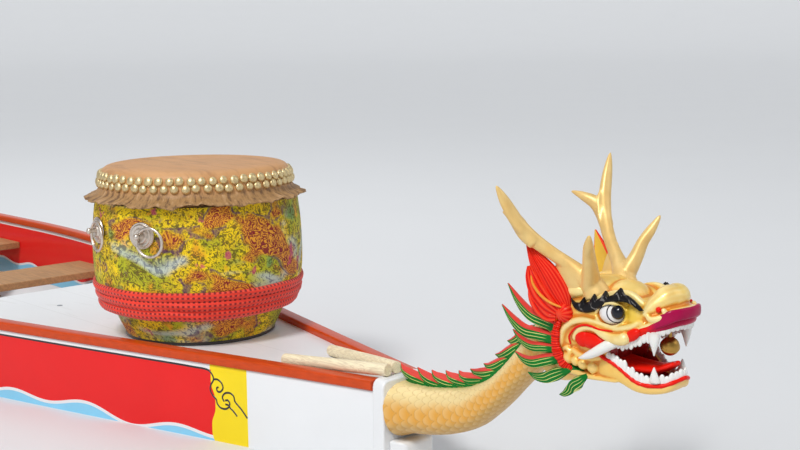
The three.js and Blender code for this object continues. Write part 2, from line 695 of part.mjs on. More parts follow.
function addTail() {
  addMesh('tail', cut(spineLimb(TAIL), [behindPost(-1)]), 'gold');
  const fin = crest(TAIL, { teeth: 10, from: 0.1, to: 0.93, tall: 26, sweep: -18 });
  addMesh('tail_crest', cut(fin, [behindPost(-1)]), 'green');
  addMesh('tail_flame', cut(upright(FLAME, FLAME_THICK), [spineLimb(TAIL, GAP)]), 'red');
}

// The steering oar turns in a yoke at the port quarter, and tilts on the yoke's trunnions
const YOKE_X = -2700;
const YOKE_Y = 304;
const TRUNNION_Z = 312;
const ARM = { half: 40, top: RAIL_TOP + 46, thick: 22, foot: 26, past: 34 };
const BEARING = { top: 26, bottom: 30, high: 10 };
const DISC = { radius: 34, high: 12 };
const CHEEK = { inside: 26, thick: 7, hole: 9 }; // inside: from the middle to each cheek's inner face
const OAR_TILT = 20; // degrees that the blade points down
const OAR_ROWS = [ // along from the trunnions, half-width, half-height
  [-760, 15, 15],
  [-700, 17, 17],
  [-200, 19, 19],
  [900, 19, 19],
  [1000, 14, 26],
  [1100, 9, 62],
  [1200, 7, 88],
  [1520, 5, 92],
  [1545, 4, 84],
];

function addSteering() {
  const seat = RAIL_TOP + GAP;
  const inboard = halfBeam(YOKE_X) - RAIL_WIDE - ARM.half;
  const x = [YOKE_X - ARM.half, YOKE_X + ARM.half];
  const onRail = halfBeam(YOKE_X) - OVERHANG;
  const armLow = ARM.top - ARM.thick;
  addMesh('oarlock_base', union([
    block(...x, inboard, YOKE_Y + ARM.past, armLow, ARM.top),
    block(...x, onRail - RAIL_HIGH, onRail, seat, armLow + 1),
    block(...x, inboard, inboard + ARM.foot, DECK_TOP + GAP, armLow + 1),
    new THREE.CylinderGeometry(BEARING.top, BEARING.bottom, BEARING.high, 24).rotateX(Math.PI / 2)
      .translate(YOKE_X, YOKE_Y, ARM.top + BEARING.high / 2 - GAP),
  ]), 'iron');

  const discLow = ARM.top + BEARING.high;
  const discMiddle = discLow + DISC.high / 2;
  const cheek = plate([
    [-24, discMiddle],
    [24, discMiddle],
    [20, TRUNNION_Z],
    [14, TRUNNION_Z + 14],
    [-14, TRUNNION_Z + 14],
    [-20, TRUNNION_Z],
  ], CHEEK.thick, [arc(0, TRUNNION_Z, CHEEK.hole, 0, 342, 19)]).rotateX(Math.PI / 2).translate(YOKE_X, 0, 0);
  const disc = new THREE.CylinderGeometry(DISC.radius, DISC.radius, DISC.high, 24).rotateX(Math.PI / 2);
  disc.translate(YOKE_X, YOKE_Y, discMiddle + GAP);
  const near = cheek.clone().translate(0, YOKE_Y - CHEEK.inside, 0);
  const far = cheek.clone().translate(0, YOKE_Y + CHEEK.inside + CHEEK.thick, 0);
  addMesh('oarlock_yoke', union([disc, near, far]), 'iron');

  // The oar lies along -X before it is tilted down by its angle
  const pinLong = (CHEEK.inside + CHEEK.thick + 5) * 2;
  const shaft = limb(OAR_ROWS.map(([along, a, b]) => [-along, 0, 0, a, b]).toReversed(), 14);
  const handle = new THREE.CylinderGeometry(14, 14, 130, 14).translate(-OAR_ROWS[0][0], 0, 0);
  const trunnion = new THREE.CylinderGeometry(8, 8, pinLong, 20);
  const collar = new THREE.CylinderGeometry(23, 23, 60, 16).rotateZ(Math.PI / 2);
  const turn = [0, -THREE.MathUtils.degToRad(OAR_TILT), 0];
  const oar = union([shaft, handle, trunnion, collar]);
  addMesh('steering_oar', oar, 'timber', [YOKE_X, YOKE_Y, TRUNNION_Z], turn);
}

addHull();
addEnds();
addDecksAndInside();
addDrum();
addDrumsticks();
addNeck();
addHead();
addHeadParts();
addTail();
addSteering();

export default boat;
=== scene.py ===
"""A festival dragon boat afloat: hull, drum, carved dragon's head, tail and steering oar.

Metres, +X to the bow, +Y to port, +Z up, the origin amidships at the waterline. Tables of the
carving are in millimetres: x ahead of the rails' end, y to port, z above the water.
"""

import math

import bmesh
import bpy
import numpy as np
from bpy.props import FloatProperty, FloatVectorProperty, IntProperty, PointerProperty
from bpy.types import Operator, Panel, PropertyGroup, Scene
from mathutils import Matrix, Vector


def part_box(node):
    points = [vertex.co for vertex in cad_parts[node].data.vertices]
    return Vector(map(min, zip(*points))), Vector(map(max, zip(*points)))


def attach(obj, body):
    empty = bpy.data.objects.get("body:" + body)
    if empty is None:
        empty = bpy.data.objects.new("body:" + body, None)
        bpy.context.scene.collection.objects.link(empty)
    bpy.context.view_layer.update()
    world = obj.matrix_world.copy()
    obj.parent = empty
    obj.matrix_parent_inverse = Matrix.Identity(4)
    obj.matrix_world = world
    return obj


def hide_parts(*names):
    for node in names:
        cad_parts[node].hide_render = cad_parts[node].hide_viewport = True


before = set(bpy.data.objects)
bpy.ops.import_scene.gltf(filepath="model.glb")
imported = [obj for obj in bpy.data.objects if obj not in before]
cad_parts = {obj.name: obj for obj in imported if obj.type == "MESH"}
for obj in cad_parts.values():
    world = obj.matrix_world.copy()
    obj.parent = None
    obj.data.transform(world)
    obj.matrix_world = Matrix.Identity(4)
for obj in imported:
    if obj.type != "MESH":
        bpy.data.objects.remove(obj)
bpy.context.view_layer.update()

bl_info = {
    "name": "Festival dragon boat",
    "version": (1, 0),
    "blender": (4, 5, 0),
    "location": "View3D > Sidebar > Boat",
    "description": "Paints and carves a small festival dragon boat over its CAD frame",
    "category": "Add Mesh",
}

MM = 0.001
HALF_LENGTH = 3.2
RAIL_TOP = 0.18
DECK_TOP = 0.166
POST_FRONT = HALF_LENGTH + 0.0303
DRUM_X = 2.56
DRUM_FOOT = DECK_TOP + 0.0003
END_RUN = 2.4  # from the rails' ends to where the plan and the keel run level
BOARD_INSET = 0.006  # the side boards' outer face, inside the rails'
BOARD_LOW, BOARD_HIGH = -0.0297, 0.1597
CHINE = -0.03
DECK_INSET = 0.0326


def colour(name, description, default):
    return FloatVectorProperty(
        name=name, description=description, subtype="COLOR", size=3, min=0, max=1, default=default
    )


def length(name, description, default):
    return FloatProperty(
        name=name, description=description, default=default, min=0, unit="LENGTH", precision=4
    )


class BoatColours(PropertyGroup):
    white: colour("White", "Paint of the decks, the posts and the bow panels", (0.8, 0.81, 0.82))
    red: colour("Red", "Field of the side boards", (0.78, 0.012, 0.012))
    yellow: colour("Yellow", "Panels between red and white", (0.9, 0.68, 0.01))
    pale_blue: colour("Pale blue", "Wave strip along the waterline", (0.25, 0.62, 0.85))
    line: colour("Line", "Painted border and cloud scroll", (0.012, 0.01, 0.012))
    rail: colour("Rail", "Varnished rails", (0.58, 0.06, 0.006))
    gold: colour("Gold", "Gold paint of the carving", (0.91, 0.63, 0.16))
    # gold_painted_shade: the deep gold painted into the carving's hollows as painted shade
    gold_painted_shade: colour("Deep gold", "Gold paint in the hollows", (0.72, 0.23, 0.018))
    antler: colour("Antler", "Paler gold of the antlers", (0.88, 0.66, 0.28))
    green: colour("Green", "Leaves of the mane and the crest", (0.004, 0.17, 0.02))
    vein: colour("Vein", "Lines painted on the leaves", (0.8, 0.82, 0.25))
    scarlet: colour("Scarlet", "Lips, ears and frill", (0.8, 0.012, 0.004))
    coral: colour("Coral", "Top faces of the leaves", (0.72, 0.058, 0.042))
    magenta: colour("Magenta", "Gum under the flared lip", (0.38, 0.003, 0.06))
    mouth: colour("Mouth", "Inside of the mouth", (0.3, 0.003, 0.004))
    ivory: colour("Ivory", "Teeth and tusks", (0.83, 0.81, 0.77))
    hide: colour("Hide", "Skin of the drum", (0.58, 0.285, 0.1))
    band: colour("Band", "Ribbed band round the drum", (0.8, 0.034, 0.014))
    brass: colour("Brass", "Studs, ring plates and bell", (0.76, 0.6, 0.32))
    timber: colour("Timber", "Benches, floor and oar", (0.42, 0.22, 0.09))
    pale_wood: colour("Pale wood", "Drumsticks", (0.88, 0.7, 0.48))


class HullSizes(PropertyGroup):
    rail_width: length("Rail width", "Across the top of a rail", 0.032)
    rail_height: length("Rail height", "Depth of a rail", 0.02)
    rail_rounding: length("Rail rounding", "Radius of a rail's edges", 0.004)
    board: length("Board", "Thickness of the side and bottom boards", 0.018)
    line_width: length("Line width", "Width of the painted border and scroll", 0.0042)
    easing: length("Easing", "Rounding of the posts' and benches' edges", 0.003)


class DrumSizes(PropertyGroup):
    studs: IntProperty(name="Studs", description="Nails in each row", default=58, min=8)
    stud_radius: length("Stud radius", "Radius of a nail's head", 0.0096)
    skirt_wave: length("Skirt wave", "How far the skirt's edge rises and falls", 0.0065)
    ring_tube: length("Ring tube", "Radius of a carrying ring's rod", 0.003)
    cloth_fold: length("Cloth fold", "Depth of the folds in the cloth", 0.0016)


class DragonSizes(PropertyGroup):
    voxel: length("Voxel", "Fineness of the carved head", 0.0016)
    scale_length: length("Scale length", "Distance from scale to scale along the neck", 0.0205)
    scale_relief: length("Scale relief", "How far a scale's free edge stands out", 0.0009)
    scales_round: IntProperty(
        name="Scales round", description="Scales round the neck", default=16, min=4
    )
    crest_thickness: length("Crest thickness", "Thickness of the fin's teeth", 0.02)


class StageSettings(PropertyGroup):
    floor: colour("Floor", "Plain floor at the waterline", (0.74, 0.75, 0.76))
    key: FloatProperty(name="Key", description="Strength of the sun lamp", default=1.8, min=0)
    sky: FloatProperty(name="Sky", description="Strength of the plain world", default=0.34, min=0)
    lens: FloatProperty(
        name="Lens", description="Focal length on a 36 mm sensor", default=58.33, unit="CAMERA"
    )


# ---- surfaces: grids of points worked out as whole arrays


def spline(rows, count, ease=False):
    """Rows of numbers carried along a smooth curve at `count` steps.

    Between rows b and c lies the Catmull-Rom cubic of a, b, c, d; every column is carried at
    once. With ease the steps crowd towards both ends as 1 - cos does.
    """
    rows = np.asarray(rows, float)
    t = np.linspace(0, 1, count)
    if ease:
        t = 0.5 - 0.5 * np.cos(np.pi * t)
    t *= len(rows) - 1
    i = np.clip(t.astype(int), 0, len(rows) - 2)
    f = (t - i)[:, None]
    padded = np.vstack([2 * rows[0] - rows[1], rows, 2 * rows[-1] - rows[-2]])
    a, b, c, d = (padded[i + k] for k in range(4))
    cubic = 2 * b + (c - a) * f + (2 * a - 5 * b + 4 * c - d) * f**2
    return 0.5 * (cubic + (3 * b - a - 3 * c + d) * f**3)


def at_bow(rows, sign=1):
    """Table rows in millimetres to metres; x is taken from the rails' end, y is times sign."""
    rows = np.array(rows, float) * MM
    rows[:, 0] += HALF_LENGTH
    rows[:, 1] *= sign
    return rows


def stacked(x, y, z):
    """Rows (x, y, z) of three arrays that are broadcast to one shape."""
    return np.stack(np.broadcast_arrays(x, y, z), axis=-1)


def circle(count):
    """Evenly spaced angles once round."""
    return np.linspace(0, 2 * np.pi, count, endpoint=False)


def rotated(points, axis, angle):
    """Points turned about the axis X, Y or Z by the right hand's rule."""
    i, j = {"X": (1, 2), "Y": (2, 0), "Z": (0, 1)}[axis]
    turn = np.eye(3)
    turn[i, i] = turn[j, j] = math.cos(angle)
    turn[j, i] = math.sin(angle)
    turn[i, j] = -turn[j, i]
    return points @ turn.T


def unit(vectors):
    return vectors / np.linalg.norm(vectors, axis=-1, keepdims=True)


def travelled(path):
    """The length of a path up to each of its points."""
    return np.concatenate([[0], np.cumsum(np.linalg.norm(np.diff(path, axis=0), axis=1))])


def frames(path, up):
    """Sideways and upward unit vectors along a path: side = up x tangent, lift = tangent x side."""
    tangent = unit(np.gradient(path, axis=0))
    side = unit(np.cross(np.broadcast_to(up, path.shape), tangent))
    return side, np.cross(tangent, side)


def superellipse(sides, power=2.0):
    """cos and sin of an angle, each raised to 2 / power with its sign kept."""
    angle = circle(sides)
    c, s = np.cos(angle), np.sin(angle)
    return np.sign(c) * np.abs(c) ** (2 / power), np.sign(s) * np.abs(s) ** (2 / power)


def swept(path, side, lift, across, above):
    """path(s) + side(s) across(s, a) + lift(s) above(s, a)."""
    return path[:, None] + side[:, None] * across[..., None] + lift[:, None] * above[..., None]


def tube(path, wide, high, up=(0, 0, 1), sides=24, power=2.0):
    """path(s) + side(s) wide(s) c(a) + lift(s) high(s) d(a), where (c, d) is a superellipse."""
    side, lift = frames(path, up)
    c, d = superellipse(sides, power)
    wide, high = (np.broadcast_to(half, len(path))[:, None] for half in (wide, high))
    return swept(path, side, lift, wide * c, high * d)


def limb(rows, count=40, sides=20, up=(0, 0, 1), round_ends=0.0, power=2.0):
    """A tube through rows of [x, y, z, half-width, half-height] on a spline. A round tube's rows
    have one radius.

    Within the fraction round_ends of each end the section shrinks as a quarter circle.
    """
    line = spline(rows, count, ease=True)
    t = 0.5 - 0.5 * np.cos(np.linspace(0, np.pi, count))
    near = np.clip(np.minimum(t, 1 - t) / max(round_ends, 1e-6), 0, 1)
    taper = np.sqrt(np.clip(1 - (1 - near) ** 2, 0.0004, 1))
    return tube(line[:, :3], line[:, 3] * taper, line[:, -1] * taper, up, sides, power)


def lump(centre, radii, sides=24, turn=0.0):
    """An ellipsoid: centre + radii (cos a sin b, sin a sin b, cos b), turned about Y."""
    a = circle(sides)
    b = np.linspace(0.04, np.pi - 0.04, sides)[:, None]
    ball = stacked(np.cos(a) * np.sin(b), np.sin(a) * np.sin(b), np.cos(b)) * radii
    c, s = math.cos(turn), math.sin(turn)
    x, z = ball[..., 0] * c + ball[..., 2] * s, ball[..., 2] * c - ball[..., 0] * s
    return stacked(x, ball[..., 1], z) + centre


def turned(profile, centre, count=96, wave=None):
    """A profile of rows [radius, height] carried round an upright axis.

    wave(angle, row numbers) may give what is added to the radius and the height.
    """
    profile = np.asarray(profile, float)
    angle = circle(count)
    radius, height = profile[:, :1], profile[:, 1:]
    if wave:
        out, rise = wave(angle[None], np.arange(len(profile))[:, None])
        radius, height = radius + out, height + rise
    return stacked(radius * np.cos(angle), radius * np.sin(angle), height) + centre


def ripple(x, seed=0):
    """A repeatable uneven wave of period 1, between about -1 and 1: a sum of five sines."""
    rng = np.random.default_rng(seed)
    waves = [(k, rng.uniform(0.4, 1), rng.uniform(0, 6.28)) for k in (2, 3, 5, 7, 11)]
    total = sum(size / k**0.5 * np.sin(2 * np.pi * k * x + phase) for k, size, phase in waves)
    return total / 1.6


class Shape:
    """Closed surfaces gathered into one mesh, with a UV map and values at the points."""

    def __init__(self):
        self.points, self.quads, self.tris, self.quad_uv, self.tri_uv = [], [], [], [], []
        self.values, self.count = [], 0

    def add(self, grid, loop=False, fans=True, **values):
        """Adds a grid (u, v, xyz) whose last column meets the first. loop also joins the last
        row to the first; otherwise a fan closes each end, unless fans is off. Faces are turned
        outwards by the sign of the volume that they enclose."""
        rows, columns = grid.shape[:2]
        i, j = np.indices((rows if loop else rows - 1, columns)).reshape(2, -1)
        k, m = (i + 1) % rows, (j + 1) % columns
        quads = np.stack([i * columns + j, k * columns + j, k * columns + m, i * columns + m], 1)
        u = np.stack([i, i + 1, i + 1, i], 1) / max(rows - 1, 1)
        v = np.stack([j, j, j + 1, j + 1], 1) / columns
        points = grid.reshape(-1, 3)
        tris, tri_uv = np.zeros((0, 3), int), np.zeros((0, 3, 2))
        if fans and not loop:
            points = np.vstack([points, grid[0].mean(0), grid[-1].mean(0)])
            n = np.arange(columns)
            last = (rows - 1) * columns
            start = stacked(n, (n + 1) % columns, rows * columns)
            end = stacked(last + (n + 1) % columns, last + n, rows * columns + 1)
            tris = np.vstack([start, end])
            turn = np.stack([n, n + 1, n + 0.5], 1) / columns
            tri_uv = np.stack([np.zeros((columns, 3)), turn], -1)
            tri_uv = np.vstack([tri_uv, np.stack([np.ones((columns, 3)), turn[:, [1, 0, 2]]], -1)])
        a, b, c, d = (points[quads[:, n]] for n in range(4))
        volume = (a * np.cross(b, c)).sum() + (a * np.cross(c, d)).sum()
        if len(tris):
            a, b, c = (points[tris[:, n]] for n in range(3))
            volume += (a * np.cross(b, c)).sum()
        quad_uv = np.stack([u, v], -1)
        if volume < 0:
            quads, quad_uv = quads[:, ::-1], quad_uv[:, ::-1]
            tris, tri_uv = tris[:, ::-1], tri_uv[:, ::-1]
        self.points.append(points)
        self.quads.append(quads + self.count)
        self.tris.append(tris + self.count)
        self.quad_uv.append(quad_uv)
        self.tri_uv.append(tri_uv)
        held = {}
        for name, value in values.items():
            value = np.broadcast_to(np.asarray(value, float), (rows, columns))
            ends = [value[0].mean(), value[-1].mean()] if len(points) > rows * columns else []
            held[name] = np.concatenate([value.ravel(), ends])
        self.values.append((len(points), held))
        self.count += len(points)
        return self

    def both(self, grid, **options):
        """Adds a grid and its mirror image across the centreline."""
        self.add(grid, **options)
        return self.add(grid * (1, -1, 1), **options)

    def mesh(self, name, sharp=40):
        points, quads, tris = (np.concatenate(x) for x in (self.points, self.quads, self.tris))
        mesh = bpy.data.meshes.new(name)
        corners = np.concatenate([quads.ravel(), tris.ravel()])
        starts = np.concatenate([np.arange(len(quads)) * 4, len(quads) * 4 + np.arange(len(tris)) * 3])
        mesh.vertices.add(len(points))
        mesh.vertices.foreach_set("co", points.ravel())
        mesh.loops.add(len(corners))
        mesh.loops.foreach_set("vertex_index", corners)
        mesh.polygons.add(len(starts))
        mesh.polygons.foreach_set("loop_start", starts)
        mesh.polygons.foreach_set("use_smooth", np.ones(len(starts), bool))
        uv = mesh.uv_layers.new(name="UVMap")
        flat = [np.concatenate(x).reshape(-1, 2) for x in (self.quad_uv, self.tri_uv)]
        uv.data.foreach_set("uv", np.concatenate(flat).ravel())
        for field in sorted({key for _, held in self.values for key in held}):
            parts = [held.get(field, np.zeros(size)) for size, held in self.values]
            set_values(mesh, field, np.concatenate(parts))
        mesh.update(calc_edges=True)
        mesh.validate()
        mesh.set_sharp_from_angle(angle=math.radians(sharp))
        return mesh


def set_values(mesh, field, values):
    layer = mesh.attributes.new(field, "FLOAT", "POINT")
    layer.data.foreach_set("value", np.ascontiguousarray(values, np.float32))


def shown(name, data):
    """A new object of the scene that shows some data."""
    thing = bpy.data.objects.new(name, data)
    bpy.context.scene.collection.objects.link(thing)
    return thing


def place(name, form, paint, slot, *nodes, body="hull", sharp=60):
    """Makes a piece of a Shape or a mesh. It rides on a body and may stand for CAD nodes; the argument
    slot is not used. A Shape's edges over `sharp` degrees stay sharp."""
    mesh = form.mesh(name, sharp) if isinstance(form, Shape) else form
    piece = shown(name, mesh)
    mesh.materials.clear()
    mesh.materials.append(PAINTS[paint])
    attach(piece, body)
    if nodes:
        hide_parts(*nodes)
    return piece


def eased(node, paint, slot, width, segments=3, body="hull"):
    """A copy of a CAD piece with its doubles merged and its edges rounded by a bevel."""
    shape = bmesh.new()
    shape.from_mesh(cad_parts[node].data)
    bmesh.ops.remove_doubles(shape, verts=shape.verts, dist=1e-5)
    bmesh.ops.dissolve_limit(
        shape, angle_limit=math.radians(1), verts=shape.verts, edges=shape.edges
    )
    mesh = bpy.data.meshes.new(f"{node}_eased")
    shape.to_mesh(mesh)
    shape.free()
    piece = place(f"{node}_eased", mesh, paint, slot, node, body=body)
    bevel = piece.modifiers.new("edges", "BEVEL")
    bevel.width, bevel.segments, bevel.use_clamp_overlap = width, segments, True
    bevel.limit_method, bevel.angle_limit = "ANGLE", math.radians(35)
    mesh.set_sharp_from_angle(angle=math.radians(40))


# ---- finishes: shader maths written as Python expressions


def maths(operation, last=False):
    """A method of Wire that adds a Math node; with last the wire comes last, as in 1 - wire."""

    def method(self, *others):
        values = (*others, self) if last else (self, *others)
        return self.finish.node("ShaderNodeMath", {"operation": operation}, dict(enumerate(values)))

    return method


class Wire:
    """A node's output that takes part in sums, products and comparisons."""

    def __init__(self, finish, socket):
        self.finish, self.socket = finish, socket

    __add__, __radd__ = maths("ADD"), maths("ADD", last=True)
    __sub__, __rsub__ = maths("SUBTRACT"), maths("SUBTRACT", last=True)
    __mul__, __rmul__ = maths("MULTIPLY"), maths("MULTIPLY", last=True)
    __gt__, __lt__ = maths("GREATER_THAN"), maths("LESS_THAN")
    __abs__, sin, fraction = maths("ABSOLUTE"), maths("SINE"), maths("FRACT")

    def step(self, low, high):
        """0 below low, 1 above high, and a smooth S between them."""
        settings = {"interpolation_type": "SMOOTHSTEP"}
        return self.finish.node(
            "ShaderNodeMapRange", settings, {"Value": self, "From Min": low, "From Max": high}
        )


class Finish:
    """A material under construction. Constants go straight onto the shader's own sockets."""

    def __init__(self, name, constants):
        self.material = bpy.data.materials.new(name)
        self.material.use_nodes = True
        self.tree = self.material.node_tree
        self.tree.nodes.clear()
        self.shader = self.tree.nodes.new("ShaderNodeBsdfPrincipled")
        output = self.tree.nodes.new("ShaderNodeOutputMaterial")
        self.tree.links.new(self.shader.outputs[0], output.inputs[0])
        for socket, value in constants.items():
            self.put(self.shader.inputs[socket], value)
        self.spot = self.node("ShaderNodeTexCoord", output="Object")

    def put(self, socket, value):
        if isinstance(value, Wire):
            self.tree.links.new(value.socket, socket)
        elif hasattr(value, "__len__"):
            value = tuple(value)
            socket.default_value = (*value, 1.0) if socket.type == "RGBA" and len(value) == 3 else value
        else:
            socket.default_value = value

    def node(self, kind, settings=None, inputs=None, output=0):
        """Adds one node: its settings first, then its sockets."""
        node = self.tree.nodes.new(kind)
        for key, value in (settings or {}).items():
            setattr(node, key, value)
        for key, value in (inputs or {}).items():
            self.put(node.inputs[key], value)
        return Wire(self, node.outputs[output])

    def axis(self, name, vector=None):
        return self.node("ShaderNodeSeparateXYZ", inputs={0: vector or self.spot}, output=name)

    def value(self, name):
        """A value held at the mesh's points."""
        return self.node("ShaderNodeAttribute", {"attribute_name": name}, output="Fac")

    def uv(self):
        return self.node("ShaderNodeUVMap", {"uv_map": "UVMap"})

    def noise(self, scale, detail, rough=0.55, vector=None, stretch=None, warp=0.0, output="Fac"):
        """Noise of the place, or of a vector, times `stretch` along its axes."""
        vector = vector or self.spot
        if stretch:
            vector = self.node("ShaderNodeMapping", inputs={"Vector": vector, "Scale": stretch})
        inputs = {"Vector": vector, "Scale": scale, "Detail": detail, "Roughness": rough}
        return self.node("ShaderNodeTexNoise", {}, {**inputs, "Distortion": warp}, output)

    def cells(self, scale):
        inputs = {"Vector": self.spot, "Scale": scale}
        return self.node("ShaderNodeTexVoronoi", {}, inputs, "Distance")

    def mix(self, factor, first, second):
        """first where the factor is 0 and second where it is 1."""
        inputs = {0: factor, 6: first, 7: second}
        return self.node("ShaderNodeMix", {"data_type": "RGBA"}, inputs, output=2)

    def layered(self, base, *layers):
        """base under layers of (factor, colour); the last one lies on top."""
        for factor, tint in layers:
            base = self.mix(factor, base, tint)
        return base

    def tinted(self, base, amount, wire):
        """base made lighter and darker by amount as wire goes from 0 to 1."""
        dark = tuple(max(c * (1 - amount), 0) for c in base)
        light = tuple(min(c * (1 + amount), 1) for c in base)
        return self.mix(wire, dark, light)

    def done(self, base, rough, height=None, depth=None, **sockets):
        """Links colour, roughness and, from a height and its depth, the bump; returns the
        material."""
        for name, wire in {"Base Color": base, "Roughness": rough, **sockets}.items():
            self.put(self.shader.inputs[name], wire)
        if height is not None:
            inputs = {"Height": height, "Distance": depth, "Strength": 1.0}
            self.put(self.shader.inputs["Normal"], self.node("ShaderNodeBump", {}, inputs, "Normal"))
        return self.material


# ---- the boat's own finishes

RED_END, YELLOW_END = 2.828, 2.908  # distance from amidships where the painted fields end
SCROLL_TOP = 0.1485
DEEP = {"Coat Weight": 0.15, "Coat Roughness": 0.08, "Specular IOR Level": 0.1}  # deep colours
GLOSSY = {**DEEP, "Coat Weight": 0.4}
SOFT = {"Coat Weight": 0.25, "Coat Roughness": 0.2}
GILT = {**SOFT, "Specular IOR Level": 0.3}


def paints(colours):
    """Every finish of the boat, by name."""
    recipes = (
        side_print, deck_white, rail_varnish, gold_carving, gold_scales, antler_gold, leaf_green,
        ear_red, lip_paint, brow_black, ivory, eye_gloss, drum_brocade, drum_hide, drum_band_cloth,
    )
    made = {recipe.__name__: recipe(colours) for recipe in recipes}
    for recipe, name, *settings in (
        (painted, "boat_white", colours.white, 0.05, 14),
        (painted, "scarlet_paint", colours.scarlet, 0.16, 60, DEEP),
        (painted, "line_paint", colours.line, 0.2, 30),
        (painted, "blackened_base", (0.02, 0.017, 0.015), 0.3, 30),
        (wood, "timber_planks", colours.timber, 9.0),
        (wood, "stick_wood", colours.pale_wood, 26.0),
        (metal, "stud_brass", colours.brass, 0.3, 0.9, 220),
        (metal, "ring_steel", (0.74, 0.66, 0.58), 0.22, 1.0, 160),
        (metal, "bell_brass", (0.5, 0.29, 0.07), 0.22, 1.0, 160),
        (metal, "fitting_steel", (0.36, 0.38, 0.4), 0.42, 1.0, 90),
    ):
        made[name] = recipe(name, *settings)
    return made


def painted(name, tint, wear, scale, coat=SOFT):
    """Brushed paint: a little lighter and darker in patches, with faint brush marks."""
    f = Finish(name, coat)
    cloud, fine = f.noise(scale * 0.15, 4), f.noise(scale * 6, 2)
    base = f.tinted(tint, wear, cloud * 0.8 + fine * 0.2)
    return f.done(base, 0.3 + cloud * 0.22, fine * 0.4 + f.noise(scale, 3) * 0.8, 0.0003)


def side_print(colours):
    """Fields by x and z: red amidships, a yellow panel, white at both ends, a pale wave strip."""
    f = Finish("side_print", GLOSSY)
    x, z = abs(f.axis("X")), f.axis("Z")
    red_edge = RED_END - 0.01 * (z * 60).sin().step(-1.0, 1.0)
    in_red = (x < red_edge) * (z < SCROLL_TOP)
    in_yellow = (x < YELLOW_END) * (x > RED_END - 0.012)
    wave = (x * 26.0).sin() * 0.01 + (x * 11.0 + 0.6).sin() * 0.008 + 0.018
    crest = (z < wave) * (x < red_edge)
    foam = (z < wave) * (z > wave - 0.007) * (x < red_edge)
    cloud = f.noise(5, 4)
    base = f.layered(
        f.tinted(colours.white, 0.05, cloud),
        (in_yellow, f.tinted(colours.yellow, 0.08, cloud)),
        (in_red, f.tinted(colours.red, 0.1, cloud)),
        (crest, f.tinted(colours.pale_blue, 0.15, cloud)),
        (foam, colours.white),
    )
    grime = f.noise(24, 5).step(0.62, 0.8) * (0.06 - z).step(0.0, 0.1) * 0.35
    base = f.mix(grime, base, (0.3, 0.29, 0.25))
    return f.done(base, 0.24 + cloud * 0.16, f.noise(60, 2), 0.0002)


def deck_white(colours):
    """White paint with a faint plank joint, scuffs and a little grime."""
    f = Finish("deck_white", {"Coat Weight": 0.15, "Coat Roughness": 0.3})
    y = f.axis("Y")
    planks = abs((y * 7.0).fraction() - 0.5).step(0.482, 0.498)
    cloud = f.noise(5, 5)
    scuffs = f.noise(9, 5, stretch=(1.0, 5.0, 1.0), warp=0.6).step(0.6, 0.78)
    base = f.layered(
        f.tinted(colours.white, 0.05, cloud),
        (scuffs * 0.3, (0.52, 0.5, 0.45)),
        (planks * 0.2, (0.45, 0.44, 0.42)),
    )
    height = f.noise(90, 3) * 0.3 - planks * 0.6 + f.noise(14, 2) * 0.8
    return f.done(base, 0.4 + scuffs * 0.2 + cloud * 0.1, height, 0.0005)


def rail_varnish(colours):
    """Orange-red varnish over wood: long faint grain along the boat, glossy coat, worn edges."""
    f = Finish("rail_varnish", GLOSSY)
    grain = f.noise(18, 6, 0.6, stretch=(0.35, 9.0, 9.0), warp=0.4)
    wear = f.noise(14, 5).step(0.62, 0.8)
    base = f.layered(
        f.tinted(colours.rail, 0.3, grain),
        (wear * 0.4, (0.66, 0.24, 0.12)),
    )
    return f.done(base, 0.3 + grain * 0.2 + wear * 0.1, grain, 0.0004)


def wood(name, tint, scale):
    """Grain lines: bands of a warped noise that is drawn out along x."""
    f = Finish(name, {})
    drawn = f.noise(scale, 5, 0.6, stretch=(0.18, 2.2, 2.2), warp=0.5)
    lines = (drawn * 60).sin() * 0.5 + 0.5
    fine = f.noise(scale * 14, 2, stretch=(0.1, 1.0, 1.0))
    mark = lines * 0.45 + fine * 0.35 + drawn * 0.3
    return f.done(f.tinted(tint, 0.28, mark), 0.44 + fine * 0.2, mark, 0.0003)


def metal(name, tint, rough, metallic, scale):
    """Rubbed metal, darker and duller in spots."""
    f = Finish(name, {"Metallic": metallic})
    spots = f.noise(scale, 4)
    worn = f.noise(scale * 0.3, 3)
    base = f.mix(spots.step(0.5, 0.75) * 0.5, f.tinted(tint, 0.12, worn), tuple(c * 0.45 for c in tint))
    return f.done(base, rough + worn * 0.25, spots, 0.0001)


def gold_carving(colours):
    """Gold paint with painted light and shade: orange painted shade in the hollows and a cream painted
    highlight on the ridges, by the value `hollow` (0 ridge, 1 hollow); a deeper orange painted shade low
    on the head, towards the jaw; yellow by the value `yellow` and dark red in the mouth by the value
    `mouth`."""
    f = Finish("gold_carving", {"Coat Weight": 0.35, "Coat Roughness": 0.12, "Specular IOR Level": 0.3})
    hollow, mouth = f.value("hollow"), f.value("mouth")
    cloud, fine = f.noise(35, 4), f.noise(420, 2)
    base = f.layered(
        (0.85, 0.5, 0.09),
        (cloud.step(0.35, 0.65), colours.gold),
        # painted highlight: cream on the ridges
        ((0.48 - hollow).step(0.0, 0.45) * 0.75, (0.96, 0.81, 0.39)),
        # painted shade: a deeper orange on the lower head and jaw
        ((0.345 - f.axis("Z")).step(-0.02, 0.045) * 0.6, (0.9, 0.52, 0.1)),
        # painted shade: deep gold in the hollows
        ((hollow + cloud * 0.25).step(0.6, 0.92) * 0.9, colours.gold_painted_shade),
        (f.value("yellow") * 0.8, (0.92, 0.6, 0.04)),
        (mouth, f.tinted(colours.mouth, 0.3, cloud)),
    )
    shine = (1 - mouth) * 0.22
    height = fine * 0.4 + f.noise(90, 3) * 1.2
    return f.done(base, 0.26 + cloud * 0.2, height, 0.0003, Metallic=shine)


